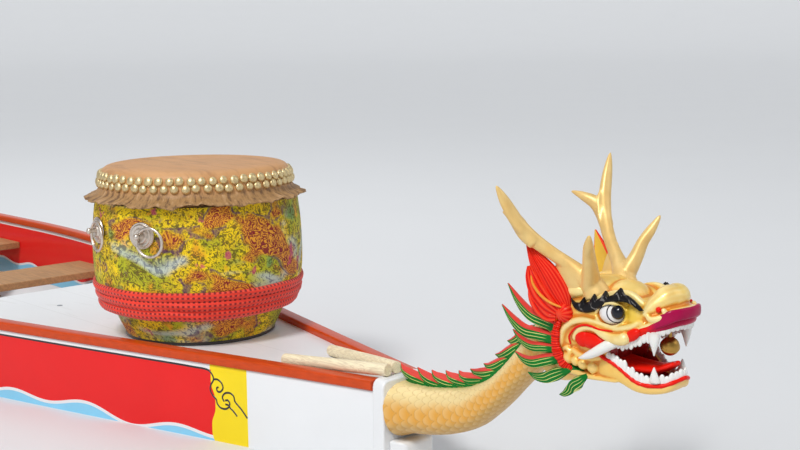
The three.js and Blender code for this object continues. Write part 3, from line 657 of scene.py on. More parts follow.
def gold_scales(colours):
    """Gold paint on the scales, with painted light and shade: a cream painted highlight along the back,
    an orange band along the flank and tan painted shade below, by the value `low` (-1 back, 1 belly);
    thin rims by the value `rim`; and painted shade, a little darker towards each scale's root, by the
    value `shade`."""
    f = Finish("gold_scales", GILT)
    shade, rim, low = f.value("shade"), f.value("rim"), f.value("low")
    cloud = f.noise(9, 3)
    zone = low + cloud * 0.5 - 0.25
    base = f.layered(
        # cream painted highlight along the back; below it orange along the flank, then tan painted shade
        # towards the belly
        (0.93, 0.72, 0.34),
        (zone.step(-0.55, 0.05), (0.8, 0.38, 0.05)),
        (zone.step(0.15, 0.65), (0.62, 0.35, 0.085)),
        # painted shade: darker towards each scale's root, lighter at its raised free edge
        (shade * 0.32, (0.95, 0.78, 0.42)),
        (rim * 0.45, (0.38, 0.18, 0.03)),
    )
    height = f.noise(300, 2)
    shine = 0.24 - rim * 0.2
    return f.done(base, 0.3 + cloud * 0.16, height, 0.0002, Metallic=shine)


def antler_gold(colours):
    """Pale gold paint with faint lengthwise streaks, and orange painted shade in the hollows by the value
    `hollow`.
    """
    f = Finish("antler_gold", GILT)
    cloud = f.noise(26, 4)
    streak = f.noise(70, 4, stretch=(1.0, 1.0, 0.2))
    dull = f.tinted((0.78, 0.46, 0.13), 0.14, streak)
    base = f.layered(
        f.tinted(colours.antler, 0.14, streak),
        (cloud, dull),
        # painted shade: orange in the antlers' hollows
        (f.value("hollow").step(0.55, 1.0) * 0.7, (0.74, 0.38, 0.07)),
    )
    return f.done(base, 0.36 + cloud * 0.15, streak, 0.0004, Metallic=0.25 + cloud * 0.1)


def leaf_green(colours):
    """Green leaves with painted yellow lines along them: `across` runs 0 to 1 over the leaf,
    `along` 0 at the root to 1 at the tip, and `face` is 1 on the coral top face."""
    f = Finish("leaf_green", DEEP)
    across, along, face = f.value("across"), f.value("along"), f.value("face")
    wobble = f.noise(18, 2) * 0.24 - 0.12
    phase = (across + wobble) * 3.6 + along * 0.8
    line = abs(phase.fraction() - 0.5)
    length_wise = (along + wobble).step(0.1, 0.18) * (0.9 - along).step(0.0, 0.1)
    veins = (0.08 + wobble * 0.5 - line).step(-0.02, 0.03) * length_wise
    cloud = f.noise(30, 3)
    base = f.layered(
        f.tinted(colours.green, 0.35, cloud),
        (veins, f.tinted(colours.vein, 0.25, cloud)),
        (face.step(0.45, 0.55), f.tinted(colours.coral, 0.18, cloud)),
    )
    height = veins * 0.8 + f.noise(200, 2) * 0.3
    return f.done(base, 0.26 + cloud * 0.2, height, 0.0004)


def ear_red(colours):
    """Scarlet ears with painted shade, darker in the grooves, and a lighter orange painted highlight on
    the ridges, by the value `hollow`; gold insides by `inner`, which on the rolled rims stands for a
    painted highlight along their edge.
    """
    f = Finish("ear_red", DEEP)
    hollow, inner, cloud = f.value("hollow"), f.value("inner"), f.noise(40, 3)
    base = f.layered(
        f.tinted(colours.scarlet, 0.15, cloud),
        # painted highlight: lighter orange where `hollow` is low, on ridges and crests
        ((0.35 - hollow).step(0.0, 0.35) * 0.35, (0.92, 0.16, 0.06)),
        # painted shade: dark red in grooves and folds
        (hollow.step(0.5, 1.0) * 0.7, (0.3, 0.005, 0.004)),
        (inner, f.tinted((0.8, 0.5, 0.06), 0.15, cloud)),
    )
    return f.done(base, 0.26 + cloud * 0.18, f.noise(160, 2), 0.0002)


def lip_paint(colours):
    """Scarlet that turns to magenta towards the front, by the value `front`."""
    f = Finish("lip_paint", DEEP)
    cloud = f.noise(50, 3)
    gum = f.tinted(colours.magenta, 0.25, cloud)
    base = f.mix(f.value("front"), f.tinted(colours.scarlet, 0.12, cloud), gum)
    return f.done(base, 0.24 + cloud * 0.15, f.noise(180, 2), 0.0002)


def brow_black(colours):
    """Black brows with fine pale hair lines along the value `hair`."""
    f = Finish("brow_black", DEEP)
    hair = abs((f.value("hair") * 26 + f.noise(60, 2) * 1.2).fraction() - 0.5)
    lines = (0.12 - hair).step(0.0, 0.06) * f.noise(150, 3).step(0.42, 0.6)
    base = f.mix(lines * 0.45, f.tinted((0.008, 0.007, 0.008), 0.3, f.noise(60, 2)), (0.36, 0.34, 0.32))
    return f.done(base, 0.34 + lines * 0.2, hair, 0.0004)


def ivory(colours):
    """White enamel, a little warmer and darker near the gums by the value `root`."""
    f = Finish("ivory", {"Coat Weight": 0.5, "Coat Roughness": 0.1, "Subsurface Weight": 0.05})
    cloud = f.noise(60, 3)
    near_gum = f.value("root").step(0.5, 1.0) * 0.35
    base = f.mix(near_gum, f.tinted(colours.ivory, 0.05, cloud), (0.66, 0.5, 0.42))
    return f.done(base, 0.24 + cloud * 0.15, cloud, 0.0003)


def eye_gloss(colours):
    """White of the eye, a thin dark arc and a glossy pupil, by the value `gaze`: the distance
    from the pupil's middle in pupil radii."""
    f = Finish("eye_gloss", {"Coat Weight": 0.5, "Coat Roughness": 0.03, "Specular IOR Level": 0.2})
    gaze = f.value("gaze")
    cloud = f.noise(80, 3)
    base = f.tinted((0.8, 0.79, 0.78), 0.05, cloud)
    arc = (gaze > 1.42) * (gaze < 1.62)
    base = f.layered(
        base,
        (arc, (0.03, 0.02, 0.03)),
        (gaze < 1.02, f.tinted((0.004, 0.005, 0.012), 0.4, cloud)),
    )
    return f.done(base, 0.12 + cloud * 0.12, cloud, 0.0001)


def drum_brocade(colours):
    """Woven brocade: a yellow and olive ground with dark leafy curls, wine drifts with orange
    scrolls, soft pale clouds; fine threads in the bump."""
    f = Finish("drum_brocade", {"Sheen Weight": 0.06, "Sheen Roughness": 0.5, "Specular IOR Level": 0.2})
    warped = f.noise(2.6, 2, output="Color")
    for operation, inputs in (
        ("SUBTRACT", {1: (0.5, 0.5, 0.5)}), ("SCALE", {"Scale": 0.16}), ("ADD", {1: f.spot}),
    ):
        warped = f.node("ShaderNodeVectorMath", {"operation": operation}, {0: warped, **inputs})
    drift = f.noise(8.0, 2, 0.5, stretch=(1.0, 1.0, 1.6), vector=warped)
    cloud = f.noise(7.0, 2, 0.5, stretch=(1.0, 1.1, 1.9), vector=warped, warp=0.5)
    curls = f.noise(30, 2, 0.5, vector=warped, warp=2.2)
    scroll = (curls * 52).sin() * 0.5 + 0.5
    leafy = f.noise(95, 3, 0.65, vector=warped, warp=1.5)
    twigs = (f.noise(46, 2, 0.5, vector=warped, warp=1.6) * 70).sin()
    base = f.layered(
        (0.95, 0.67, 0.01),
        (f.noise(11, 3).step(0.42, 0.6), (0.48, 0.48, 0.02)),
        (f.noise(17, 3).step(0.56, 0.66) * 0.8, (0.8, 0.34, 0.02)),
        (f.noise(13, 2).step(0.6, 0.7) * 0.7, (0.06, 0.26, 0.12)),
        (leafy.step(0.5, 0.56) * 0.85, (0.09, 0.085, 0.01)),
        (twigs.step(0.55, 0.95) * f.noise(20, 2).step(0.44, 0.52) * 0.8, (0.17, 0.035, 0.03)),
    )
    pale = f.mix(leafy.step(0.5, 0.58), (0.56, 0.64, 0.6), (0.26, 0.3, 0.34))
    base = f.mix(cloud.step(0.54, 0.7) * 0.8, base, pale)
    wine = f.mix(scroll.step(0.4, 0.7), (0.24, 0.01, 0.022), (0.8, 0.34, 0.03))
    base = f.layered(
        base,
        (drift.step(0.53, 0.6) * 0.95, wine),
        (f.noise(19, 3).step(0.66, 0.72) * 0.7, (0.55, 0.02, 0.16)),
    )
    seam = (0.025 - abs(drift - 0.54)).step(0.0, 0.02) * f.noise(40, 2).step(0.42, 0.55)
    base = f.mix(seam * 0.7, base, (0.1, 0.03, 0.11))
    threads = (f.axis("Z") * 5200).sin() * 0.5 + f.noise(700, 2)
    height = scroll * 0.35 + leafy * 0.4 + threads * 0.25
    return f.done(base, 0.58 + leafy * 0.25, height, 0.0005)


def drum_hide(colours):
    """Tanned hide: soft blotches, a paler middle and shoulder, pores, and a greyer wrinkled skirt by the
    value `skirt`, lighter on its pleats' crests as a painted highlight and darker in their troughs as
    painted shade."""
    f = Finish("drum_hide", {"Coat Weight": 0.12, "Coat Roughness": 0.35})
    blotch, fine = f.noise(9, 5, 0.6), f.noise(120, 4)
    pores = f.cells(900)
    skirt = f.value("skirt")
    base = f.layered(
        f.tinted(colours.hide, 0.26, blotch),
        (f.value("shoulder") * 0.45, (0.62, 0.34, 0.15)),
    )
    streak = f.noise(16, 5, 0.6, stretch=(0.35, 3.0, 1.0), warp=0.5)
    base = f.mix(streak.step(0.48, 0.72) * 0.45, base, (0.27, 0.105, 0.034))
    pleats = f.noise(1.0, 5, 0.65, stretch=(5.0, 120.0, 1.0), vector=f.uv()).step(0.25, 0.75)
    base = f.layered(
        base,
        # skirt: brown with fine patches, lightened on the pleats' crests as a painted highlight and
        # darkened in their troughs as painted shade
        (skirt * 0.9, f.tinted((0.36, 0.2, 0.075), 0.5, fine * 0.6 + pleats * 0.4)),
        (skirt * (pleats + fine * 0.5).step(0.85, 1.3) * 0.5, (0.66, 0.44, 0.27)),
        (skirt * (0.6 - pleats - fine * 0.3).step(0.0, 0.3) * 0.7, (0.1, 0.045, 0.02)),
    )
    wrinkle = f.noise(34, 4, stretch=(1.0, 1.0, 3.0), warp=0.8)
    height = fine * 0.25 + pores * 0.15 + wrinkle * (skirt * 1.6 + 0.15) + pleats * skirt * 1.4
    return f.done(base, 0.42 + fine * 0.2 + skirt * 0.15, height, 0.0012)


def drum_band_cloth(colours):
    """Red webbing: stitch holes in rows and cross threads, counted along the UV map."""
    f = Finish("drum_band_cloth", {"Sheen Weight": 0.18, "Sheen Roughness": 0.4})
    u, v = f.axis("Y", f.uv()), f.axis("X", f.uv())
    ribs = (u * 2 * math.pi * 132).sin() * 0.5 + 0.5
    rows = (v * 2 * math.pi * 15).sin() * 0.5 + 0.5
    stitch = ribs.step(0.5, 0.8) * rows.step(0.4, 0.75)
    thread = (1 - ribs).step(0.55, 0.9) * rows.step(0.35, 0.75)
    cloud, fine = f.noise(24, 4), f.noise(420, 2)
    base = f.layered(
        f.tinted(colours.band, 0.24, cloud * 0.6 + fine * 0.4),
        (thread * 0.35, (0.86, 0.16, 0.09)),
        (stitch * (0.65 + cloud * 0.4), (0.13, 0.003, 0.01)),
    )
    height = thread * 0.5 - stitch * 1.0 + fine * 0.3
    return f.done(base, 0.58 + fine * 0.2, height, 0.0008)


# ---- hull


def half_beam(x):
    """The hull's plan outside the rails: a cubic from the end's width and slope to the middle's."""
    end, slope, middle = 0.063, 0.2513, 0.53
    t = np.clip((HALF_LENGTH - np.abs(x)) / END_RUN, 0, 1)
    start = 1 - 3 * t**2 + 2 * t**3
    return end * start + slope * END_RUN * (t - 2 * t**2 + t**3) + middle * (1 - start)


def keel_line(x):
    """The bottom's lowest line: a quarter of a sine from the ends' depth to the middle's."""
    end, middle = -0.07, -0.19
    t = np.clip((HALF_LENGTH - np.abs(x)) / END_RUN, 0, 1)
    return end + (middle - end) * np.sin(t * np.pi / 2)


def board_face(x, z, side):
    """Points on the outer face of a side board."""
    return stacked(x, side * (half_beam(x) - BOARD_INSET), z)


def rounded_box(a0, a1, b0, b1, radius, steps=4):
    """A closed section: a rectangle whose corners are quarter circles."""
    turn = np.linspace(0, np.pi / 2, steps) + np.pi / 2 * np.arange(4)[:, None]
    a0, a1, b0, b1 = a0 + radius, a1 - radius, b0 + radius, b1 - radius
    a = np.array([a1, a0, a0, a1])[:, None] + radius * np.cos(turn)
    b = np.array([b1, b1, b0, b0])[:, None] + radius * np.sin(turn)
    return a.ravel(), b.ravel()


def along_side(section, side, count=220):
    """A section of (distance inside the rails' outer face, height) carried along the plan:
    P(x, s) = (x, side (half_beam(x) - inside(s)), height(s))."""
    inside, height = section
    x = np.linspace(-HALF_LENGTH, HALF_LENGTH, count)[:, None]
    return stacked(x, side * (half_beam(x) - inside), height)


SIDES = (("port", 1), ("starboard", -1))

SCROLL = {  # the painted line's strokes, in millimetres: x from the rails' end, z
    "border": [(-460, 149), (-425, 148.5), (-395, 148), (-382, 143), (-375, 130), (-382, 117),
               (-384, 106), (-378, 95), (-370, 88), (-367, 79), (-359, 72), (-348, 71), (-339, 76),
               (-336, 84), (-340, 90), (-347, 89)],
    "upper_curl": [(-376, 129), (-365, 130), (-355, 124), (-352, 114), (-358, 106), (-365, 105),
                   (-368, 111), (-363, 115)],
    "lower_curl": [(-350, 86), (-354, 95), (-347, 104), (-335, 106), (-326, 101), (-323, 91), (-316, 84),
                   (-307, 76), (-293, 60)],
    "tail": [(-347, 81), (-339, 80), (-335, 75), (-328, 70), (-318, 60)],
}


class HullOperator(Operator):
    """Side boards with their painted fields and scroll, bottom and keel"""

    bl_idname = "boat.hull"
    bl_label = "Hull"

    def execute(self, context):
        sizes = context.scene.hull_sizes
        inner = BOARD_INSET + sizes.board
        section = rounded_box(BOARD_INSET, inner, BOARD_LOW, BOARD_HIGH, 0.002)
        for name, side in SIDES:
            shape = Shape().add(along_side(section, side))
            place(
                f"side_board_skin_{name}", shape, "side_print", "hull_red", f"side_board_{name}",
                sharp=40,
            )
            self.paint_lines(name, side, sizes.line_width)
        self.bottom(sizes.board)
        return {"FINISHED"}

    def paint_lines(self, name, side, width):
        """A flat ribbon along each stroke, half a millimetre proud of the board."""
        shape = Shape()
        x = np.linspace(-2.75, 2.75, 260)
        strokes = [board_face(x, 0.149, side)]
        for rows in SCROLL.values():
            line = spline(rows, 16 * len(rows)) * MM
            for end in (1, -1):
                strokes.append(board_face(end * (HALF_LENGTH + line[:, 0]), line[:, 1], side))
        for stroke in strokes:
            shape.add(tube(stroke, width / 2, 0.0005, up=(0, side, 0), sides=8, power=4))
        place(f"painted_line_{name}", shape, "line_paint", "black_paint", sharp=40)

    def bottom(self, board):
        """A rounded bilge: y = wide sin^0.75, z = chine - deep cos^0.75, with an inner skin."""
        x = np.linspace(-HALF_LENGTH, HALF_LENGTH, 160)[:, None]
        angle = np.linspace(-np.pi / 2, np.pi / 2, 33)
        lines = []
        for inset in (0.0, board):
            wide = half_beam(x) - BOARD_INSET - inset
            deep = CHINE - keel_line(x) - inset
            y = np.sign(angle) * wide * np.abs(np.sin(angle)) ** 0.75
            z = CHINE - deep * np.abs(np.cos(angle)) ** 0.75
            lines.append(stacked(x, y, z))
        grid = np.concatenate([lines[0], lines[1][:, ::-1]], axis=1)
        place("bottom_skin", Shape().add(grid), "boat_white", "hull_white", "hull_bottom", sharp=40)
        y, z = rounded_box(-0.02, 0.02, -0.03, -0.0003, 0.004)
        grid = stacked(x, y, keel_line(x) + z)
        place("keel_batten", Shape().add(grid), "boat_white", "hull_white", "keel", sharp=40)


class RailsOperator(Operator):
    """The varnished rails along both sides"""

    bl_idname = "boat.rails"
    bl_label = "Rails"

    def execute(self, context):
        sizes = context.scene.hull_sizes
        low = RAIL_TOP - sizes.rail_height
        section = rounded_box(0, sizes.rail_width, low, RAIL_TOP, sizes.rail_rounding, 5)
        for name, side in SIDES:
            shape = Shape().add(along_side(section, side, 320))
            place(f"rail_{name}", shape, "rail_varnish", "rail_wood", f"gunwale_{name}")
        return {"FINISHED"}


class DecksOperator(Operator):
    """Fore and after deck, the posts that close the ends, and the feet under neck and tail"""

    bl_idname = "boat.decks"
    bl_label = "Decks and ends"

    def execute(self, context):
        easing = context.scene.hull_sizes.easing
        for node, start, end in (("foredeck", 1.9, 3.199), ("afterdeck", -3.199, -2.0)):
            # P(x, s) = (x, half(x) c(s), height(s)): a flat board as wide as the hull inside
            x = np.linspace(start, end, 90)[:, None]
            across, height = rounded_box(-1, 1, DECK_TOP - 0.012, DECK_TOP, 0.0015, 3)
            grid = stacked(x, (half_beam(x) - DECK_INSET) * across, height)
            place(f"{node}_boards", Shape().add(grid), "deck_white", "hull_white", node, sharp=40)
        for node in ("bow_post", "stem_foot", "stern_post", "stern_foot"):
            eased(node, "boat_white", "hull_white", easing * 1.3)
        screw = Shape()
        for x, y in ((3.06, -0.006), (2.1, 0.1), (2.1, -0.1), (-2.12, 0.1), (-2.12, -0.1)):
            profile = [[0.0001, 0.0012], [0.004, 0.0012], [0.0065, 0.0006], [0.007, 0], [0.0001, 0]]
            screw.add(turned(profile, (x, y, DECK_TOP), 20))
        place("deck_screws", screw, "fitting_steel", "steel", sharp=40)
        return {"FINISHED"}


class InsideOperator(Operator):
    """Bulkheads, benches and floor inside the hull"""

    bl_idname = "boat.inside"
    bl_label = "Inside"

    def execute(self, context):
        easing = context.scene.hull_sizes.easing
        for node in ("bulkhead_fore", "bulkhead_aft", "drum_beam"):
            eased(node, "boat_white", "hull_white", easing * 0.5, 2)
        eased("floor_frame", "timber_planks", "timber", easing * 0.5, 2)
        for number in range(1, 6):
            eased(f"bench_{number}", "timber_planks", "timber", easing)
        self.floorboards()
        return {"FINISHED"}

    def floorboards(self):
        """Five boards side by side with narrow joints, each a rounded section along x."""
        low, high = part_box("floorboards")
        count, joint = 5, 0.004
        wide = (high.y - low.y - joint * (count - 1)) / count
        x = np.linspace(low.x, high.x, 12)[:, None]
        shape = Shape()
        for n in range(count):
            start = low.y + n * (wide + joint)
            y, z = rounded_box(start, start + wide, low.z, high.z, 0.002, 3)
            shape.add(stacked(x, y, z))
        place("floor_planks", shape, "timber_planks", "timber", "floorboards", sharp=40)


# ---- drum

DRUM_ROWS = [  # radius, height above the deck, in millimetres
    (164, 6), (177, 32), (190, 60), (205, 70), (220, 98), (228, 138), (230, 178), (229, 218), (226, 262),
    (221, 303),
]
SKIN_ROWS = [  # radius, height, skirt, shoulder
    (0.5, 377, 0, 0.5), (60, 377, 0, 0.4), (120, 376.5, 0, 0.1), (168, 376, 0, 0), (187, 374.5, 0, 0.4),
    (197, 371, 0, 1), (203, 365, 0, 1), (206, 358, 0, 0.6), (208, 348, 0, 0.3), (210, 338, 0.2, 0.2),
    (212, 328, 0.7, 0), (218, 320, 1, 0), (230, 315, 1, 0), (242, 311.5, 1, 0), (244.5, 310, 1, 0),
    (243, 308, 1, 0), (232, 309.5, 1, 0), (220, 307, 1, 0), (206, 304.5, 1, 0), (0.5, 303.5, 1, 0),
]
DRUM_CENTRE = (DRUM_X, 0.0, DRUM_FOOT)
BAND_LOW, BAND_HIGH, BAND_ROWS = 0.0605, 0.1265, 61  # above the drum's foot
RING_PLATE = [  # radius, distance from the plate's back, in millimetres
    (0.2, 26.5), (3.6, 26), (6.2, 23.5), (6.4, 20), (4.6, 18), (4.4, 8.4), (9, 8.2), (11.6, 9.4),
    (14.4, 9.2), (15.6, 7.2), (17.2, 5.4), (19.6, 6.6), (22.4, 6.4), (23.6, 4.4), (25, 3.2), (27, 3.6),
    (28.2, 2.6), (28.6, 0.2), (0.2, 0),
]
PLATE_BACK, PLATE_HEIGHT = 0.2302, 0.246  # from the drum's axis and above its foot
RING_RADIUS, RING_HANG = 0.03, (0.0145, 0, -0.028)  # the loop, and its middle from the plate's
RINGS = [  # degrees round the drum from the bow, degrees that the loop has swung on its pin
    (-99, 70), (-64, 66), (81, 45), (116, 25),
]


class DrumBodyOperator(Operator):
    """The drum's barrel, the cloth with soft folds round it, its dark foot and its band"""

    bl_idname = "boat.drum_body"
    bl_label = "Drum body"

    def execute(self, context):
        sizes = context.scene.drum_sizes
        rows = spline(DRUM_ROWS, 90) * MM
        wrap = np.vstack([rows, (rows - (0.0015, 0))[::-1]])
        rows = np.vstack([(0.0005, 0.006), rows - (0.007, 0), (0.0005, 0.303)])
        shape = Shape().add(turned(rows, DRUM_CENTRE, 120))
        place("drum_barrel", shape, "timber_planks", "timber", sharp=50)

        def folds(angle, row):
            turn = angle / (2 * np.pi)
            height = wrap[:, 1:] / 0.303
            lean = ripple(turn + height * 0.06, 3) * (0.35 + height**3)
            lean = lean + ripple(turn - height * 0.1 + 0.3, 4) * 0.5
            return sizes.cloth_fold * lean, 0 * lean

        shape = Shape().add(turned(wrap, DRUM_CENTRE, 240, folds), loop=True)
        cloth = place("drum_cloth_body", shape, "drum_brocade", "drum_cloth", "drum_shell", sharp=50)
        foot = [(0.5, 0), (163, 0), (165.6, 1.5), (166, 4), (165, 7), (160, 8), (0.5, 8)]
        shape = Shape().add(turned(np.array(foot) * MM, DRUM_CENTRE, 120))
        place("drum_foot", shape, "blackened_base", "black_paint", "drum_base", sharp=40)
        self.band()
        return {"FINISHED"}

    def band(self):
        """Slack webbing: a section of three crowns, carried round the drum with uneven folds."""
        z = np.linspace(BAND_LOW, BAND_HIGH, BAND_ROWS)
        path = spline(DRUM_ROWS, 200) * MM
        under = np.interp(z, path[:, 1], path[:, 0])
        crown = np.abs(np.sin(((z - BAND_LOW) / (BAND_HIGH - BAND_LOW)) ** 1.15 * np.pi * 3)) ** 0.5
        lower = np.interp(z, [BAND_LOW, 0.082, BAND_HIGH], [0.011, 0.0035, 0.0022])
        outer = under + lower + 0.0056 * crown
        section = np.vstack([np.stack([outer, z], 1), np.stack([under + 0.0005, z], 1)[::-1]])

        def slack(angle, row):
            turn = angle / (2 * np.pi)
            out = (row < BAND_ROWS) * 0.002 * ripple(turn * 2 + row * 0.009, 9)
            top = (row % BAND_ROWS) / (BAND_ROWS - 1)
            return out, 0.0022 * ripple(turn, 12) + 0.0016 * ripple(turn + 0.4, 13) * top

        grid = turned(section, DRUM_CENTRE, 300, slack)
        webbing = place(
            "drum_webbing", Shape().add(grid, loop=True), "drum_band_cloth", "band_cloth", "drum_band",
            sharp=70,
        )


class DrumSkinOperator(Operator):
    """The hide head with its ragged skirt, and two rows of domed nails"""

    bl_idname = "boat.drum_skin"
    bl_label = "Drum skin"

    def execute(self, context):
        sizes = context.scene.drum_sizes
        rows = spline(SKIN_ROWS, 130)
        radius, height, skirt, shoulder = rows.T[..., None]
        reach = np.clip((radius - 212) / 30, 0, 1) * (height < 324)

        def hang(angle, row):
            turn = angle / (2 * np.pi)
            ragged = ripple(turn, 21) + 0.5 * ripple(turn * 4, 22) + 0.35 * ripple(turn * 11, 23)
            out = reach**2 * (0.0078 * ragged - 0.003)
            droop = sizes.skirt_wave * ripple(turn * 3 + 0.2, 24) + 0.0036 * ripple(turn * 9, 25)
            pull = 0.0006 * ripple(turn * 5, 26) * ((radius > 195) & (radius < 214))
            return out + pull, reach * droop - reach * 0.0015

        grid = turned(rows[:, :2] * MM, DRUM_CENTRE, 600, hang)
        shape = Shape().add(grid, skirt=skirt.clip(0, 1), shoulder=shoulder.clip(0, 1))
        place("drum_hide", shape, "drum_hide", "drum_hide", "drum_skin")
        self.studs(sizes)
        return {"FINISHED"}

    def studs(self, sizes):
        """Domes on two rows: each stands square to the skin's slope, a little unevenly spaced."""
        rng = np.random.default_rng(5)
        a, b = circle(12), np.array([0.05, 0.35, 0.7, 1.05, 1.4, 1.57])[:, None]
        dome = stacked(np.cos(b) * 0.62, np.sin(b) * np.cos(a), np.sin(b) * np.sin(a))
        dome = np.concatenate([dome, dome[-1:] * (1, 0.96, 0.96) - (0.3, 0, 0)])
        shape = Shape()
        for radius, height, lean, offset in ((0.208, 0.356, 0.35, 0.0), (0.2115, 0.34, 0.14, 0.5)):
            turn = (np.arange(sizes.studs) + offset + rng.normal(0, 0.035, sizes.studs)) / sizes.studs
            for angle in turn * 2 * np.pi:
                nail = dome * sizes.stud_radius * (1 + rng.normal(0, 0.05))
                nail = rotated(rotated(nail, "Y", -lean) + (radius, 0, 0), "Z", angle)
                shape.add(nail + DRUM_CENTRE + (0, 0, height + rng.normal(0, 0.0006)))
        place("drum_nails", shape, "stud_brass", "brass", sharp=40)


class DrumRingsOperator(Operator):
    """Four carrying rings, each on a stepped round plate with a pin"""

    bl_idname = "boat.drum_rings"
    bl_label = "Drum rings"

    def execute(self, context):
        tube_radius = context.scene.drum_sizes.ring_tube
        # in the plate's own frame +X points away from the drum
        radius, out = np.array(RING_PLATE).T[..., None] * MM
        turn = circle(48)
        disc = stacked(out, radius * np.cos(turn), radius * np.sin(turn))
        along = circle(60)
        outward = stacked(0, np.sin(along), np.cos(along))[:, None]
        around = circle(16)[:, None]
        rod = outward * np.cos(around) + np.array([1.0, 0, 0]) * np.sin(around)
        loop = RING_RADIUS * outward + tube_radius * rod + RING_HANG
        for number, (degrees, swung) in enumerate(RINGS, 1):
            shape = Shape()
            for grid, closed in ((disc, False), (rotated(loop, "X", math.radians(swung)), True)):
                grid = rotated(grid + (PLATE_BACK, 0, 0), "Z", math.radians(degrees))
                shape.add(grid + (DRUM_X, 0, DRUM_FOOT + PLATE_HEIGHT), loop=closed)
            place(
                f"carrying_ring_{number}", shape, "ring_steel", "brass", f"drum_ring_{number}",
                sharp=50,
            )
        return {"FINISHED"}


class DrumsticksOperator(Operator):
    """Two loose sticks that lie from the foredeck up onto the bow post"""

    bl_idname = "boat.drumsticks"
    bl_label = "Drumsticks"

    def execute(self, context):
        butt_z, tip_z = DECK_TOP * 1000 + 11.5, 197
        for number, (x0, y0, x1, y1) in enumerate(((2961, 45, 3209, -5), (2950, -67, 3212, -31)), 1):
            t = np.array([0, 0.03, 0.35, 0.6, 0.97, 1.0])
            radius = np.array([10.6, 11.8, 11.8, 12.2, 11.6, 10.6])
            x, y, z = x0 + (x1 - x0) * t, y0 + (y1 - y0) * t, butt_z + (tip_z - butt_z) * t
            rows = np.stack([x, y, z, radius, radius], 1) * MM
            shape = Shape().add(limb(rows, 60, 28, round_ends=0.035))
            place(f"stick_{number}", shape, "stick_wood", "pale_wood", f"drumstick_{number}")
        return {"FINISHED"}


# ---- stage


class StageOperator(Operator):
    """A plain pale floor at the waterline, soft light and the camera"""

    bl_idname = "boat.stage"
    bl_label = "Stage"

    def execute(self, context):
        scene, stage = context.scene, context.scene.boat_stage
        self.floor(stage)
        world = bpy.data.worlds.new("pale_world")
        world.use_nodes = True
        background = world.node_tree.nodes["Background"]
        background.inputs["Color"].default_value = (0.86, 0.9, 0.96, 1.0)
        background.inputs["Strength"].default_value = stage.sky
        scene.world = world
        scene.view_settings.view_transform = "Standard"
        for lamp in (
            ("key", "SUN", (0.35, -1.0, 1.25), (0, 0, 0), stage.key, math.radians(14)),
            ("fill", "SUN", (1.0, 0.9, 1.0), (0, 0, 0), stage.key * 0.22, math.radians(40)),
            ("panel_bow", "AREA", (4.2, -2.6, 2.6), (3.3, 0, 0.3), 22, 1.6),
            ("panel_top", "AREA", (0.0, 0.6, 4.2), (0, 0, 0), 50, 4.0),
        ):
            self.lamp(*lamp)
        self.camera(stage)
        return {"FINISHED"}

    def floor(self, stage):
        """P(r, a) runs from the hull's outline at the waterline (r = 0) to a wide circle (r = 1).
        Its far rim rises with the square of the distance."""
        a = circle(480)
        reach = POST_FRONT + 0.06
        x = reach * np.cos(a)
        beyond = np.interp(np.abs(x), [HALF_LENGTH, 3.228, 3.236, reach], [0.05, 0.05, 0.03, 0.0])
        inside = np.where(np.abs(x) < HALF_LENGTH, half_beam(x) - 0.015, beyond)
        y = np.sign(np.sin(a)) * inside
        r = np.linspace(0, 1, 60)[:, None] ** 2.5
        far = 75.0
        px, py = x + (far * np.cos(a) - x) * r, y + (far * np.sin(a) - y) * r
        rise = np.clip((np.hypot(px, py) - 34) / 40, 0, None) ** 2 * 24
        f = Finish("plain_floor", {})
        mesh = Shape().add(stacked(px, py, rise), fans=False).mesh("floor")
        mesh.materials.append(f.done(f.tinted(stage.floor, 0.01, f.noise(1.5, 2)), 0.7))
        shown("floor", mesh)

    def lamp(self, name, kind, spot, target, strength, size):
        """size is the side of a panel, or the angle that a sun fills."""
        lamp = bpy.data.lights.new(name, kind)
        lamp.energy = strength
        setattr(lamp, "angle" if kind == "SUN" else "size", size)
        holder = shown(name, lamp)
        holder.location = spot
        holder.rotation_mode = "QUATERNION"
        holder.rotation_quaternion = (Vector(target) - Vector(spot)).to_track_quat("-Z", "Y")

    def camera(self, stage):
        data = bpy.data.cameras.new("camera")
        data.sensor_width, data.lens, data.clip_end = 36.0, stage.lens, 400
        camera = shown("camera", data)
        spot = Matrix.Translation((4.9489, -1.6226, 0.8233))
        right = Vector((0.68504, 0.72842, -0.01091))
        up = Vector((-0.10041, 0.10924, 0.98893))
        camera.matrix_world = spot @ Matrix((right, up, right.cross(up))).transposed().to_4x4()
        bpy.context.scene.camera = camera


# ---- dragon: neck and tail

NECK_ROWS = [  # x, y, z, half-width, half-height
    (31, 0, 124, 60, 52), (66, 0, 130, 56, 46), (106, 0, 134, 50, 44), (156, 0, 144, 45, 42),
    (200, 0, 158, 41, 38), (236, 0, 178, 38, 32), (270, 0, 202, 35, 27), (300, 0, 230, 33, 25),
    (336, 0, 267, 32, 26), (380, 0, 315, 33, 29), (414, 0, 350, 36, 32),
]
TAIL_ROWS = [  # the same, with x behind the rails' after end
    (31, 0, 124, 58, 50), (66, 0, 129, 54, 45), (106, 0, 134, 47, 43), (150, 0, 149, 41, 40),
    (195, 0, 177, 36, 36), (238, 0, 222, 32, 34), (262, 0, 280, 28, 30), (266, 0, 340, 24, 26),
    (250, 0, 398, 20, 22), (222, 0, 448, 15, 17), (190, 0, 500, 8, 10),
]
TO_PORT, TO_BOW, UP = (0, 1, 0), (1, 0, 0), (0, 0, 1)
GABLE = 2.0  # the power that stands for a roof-shaped section
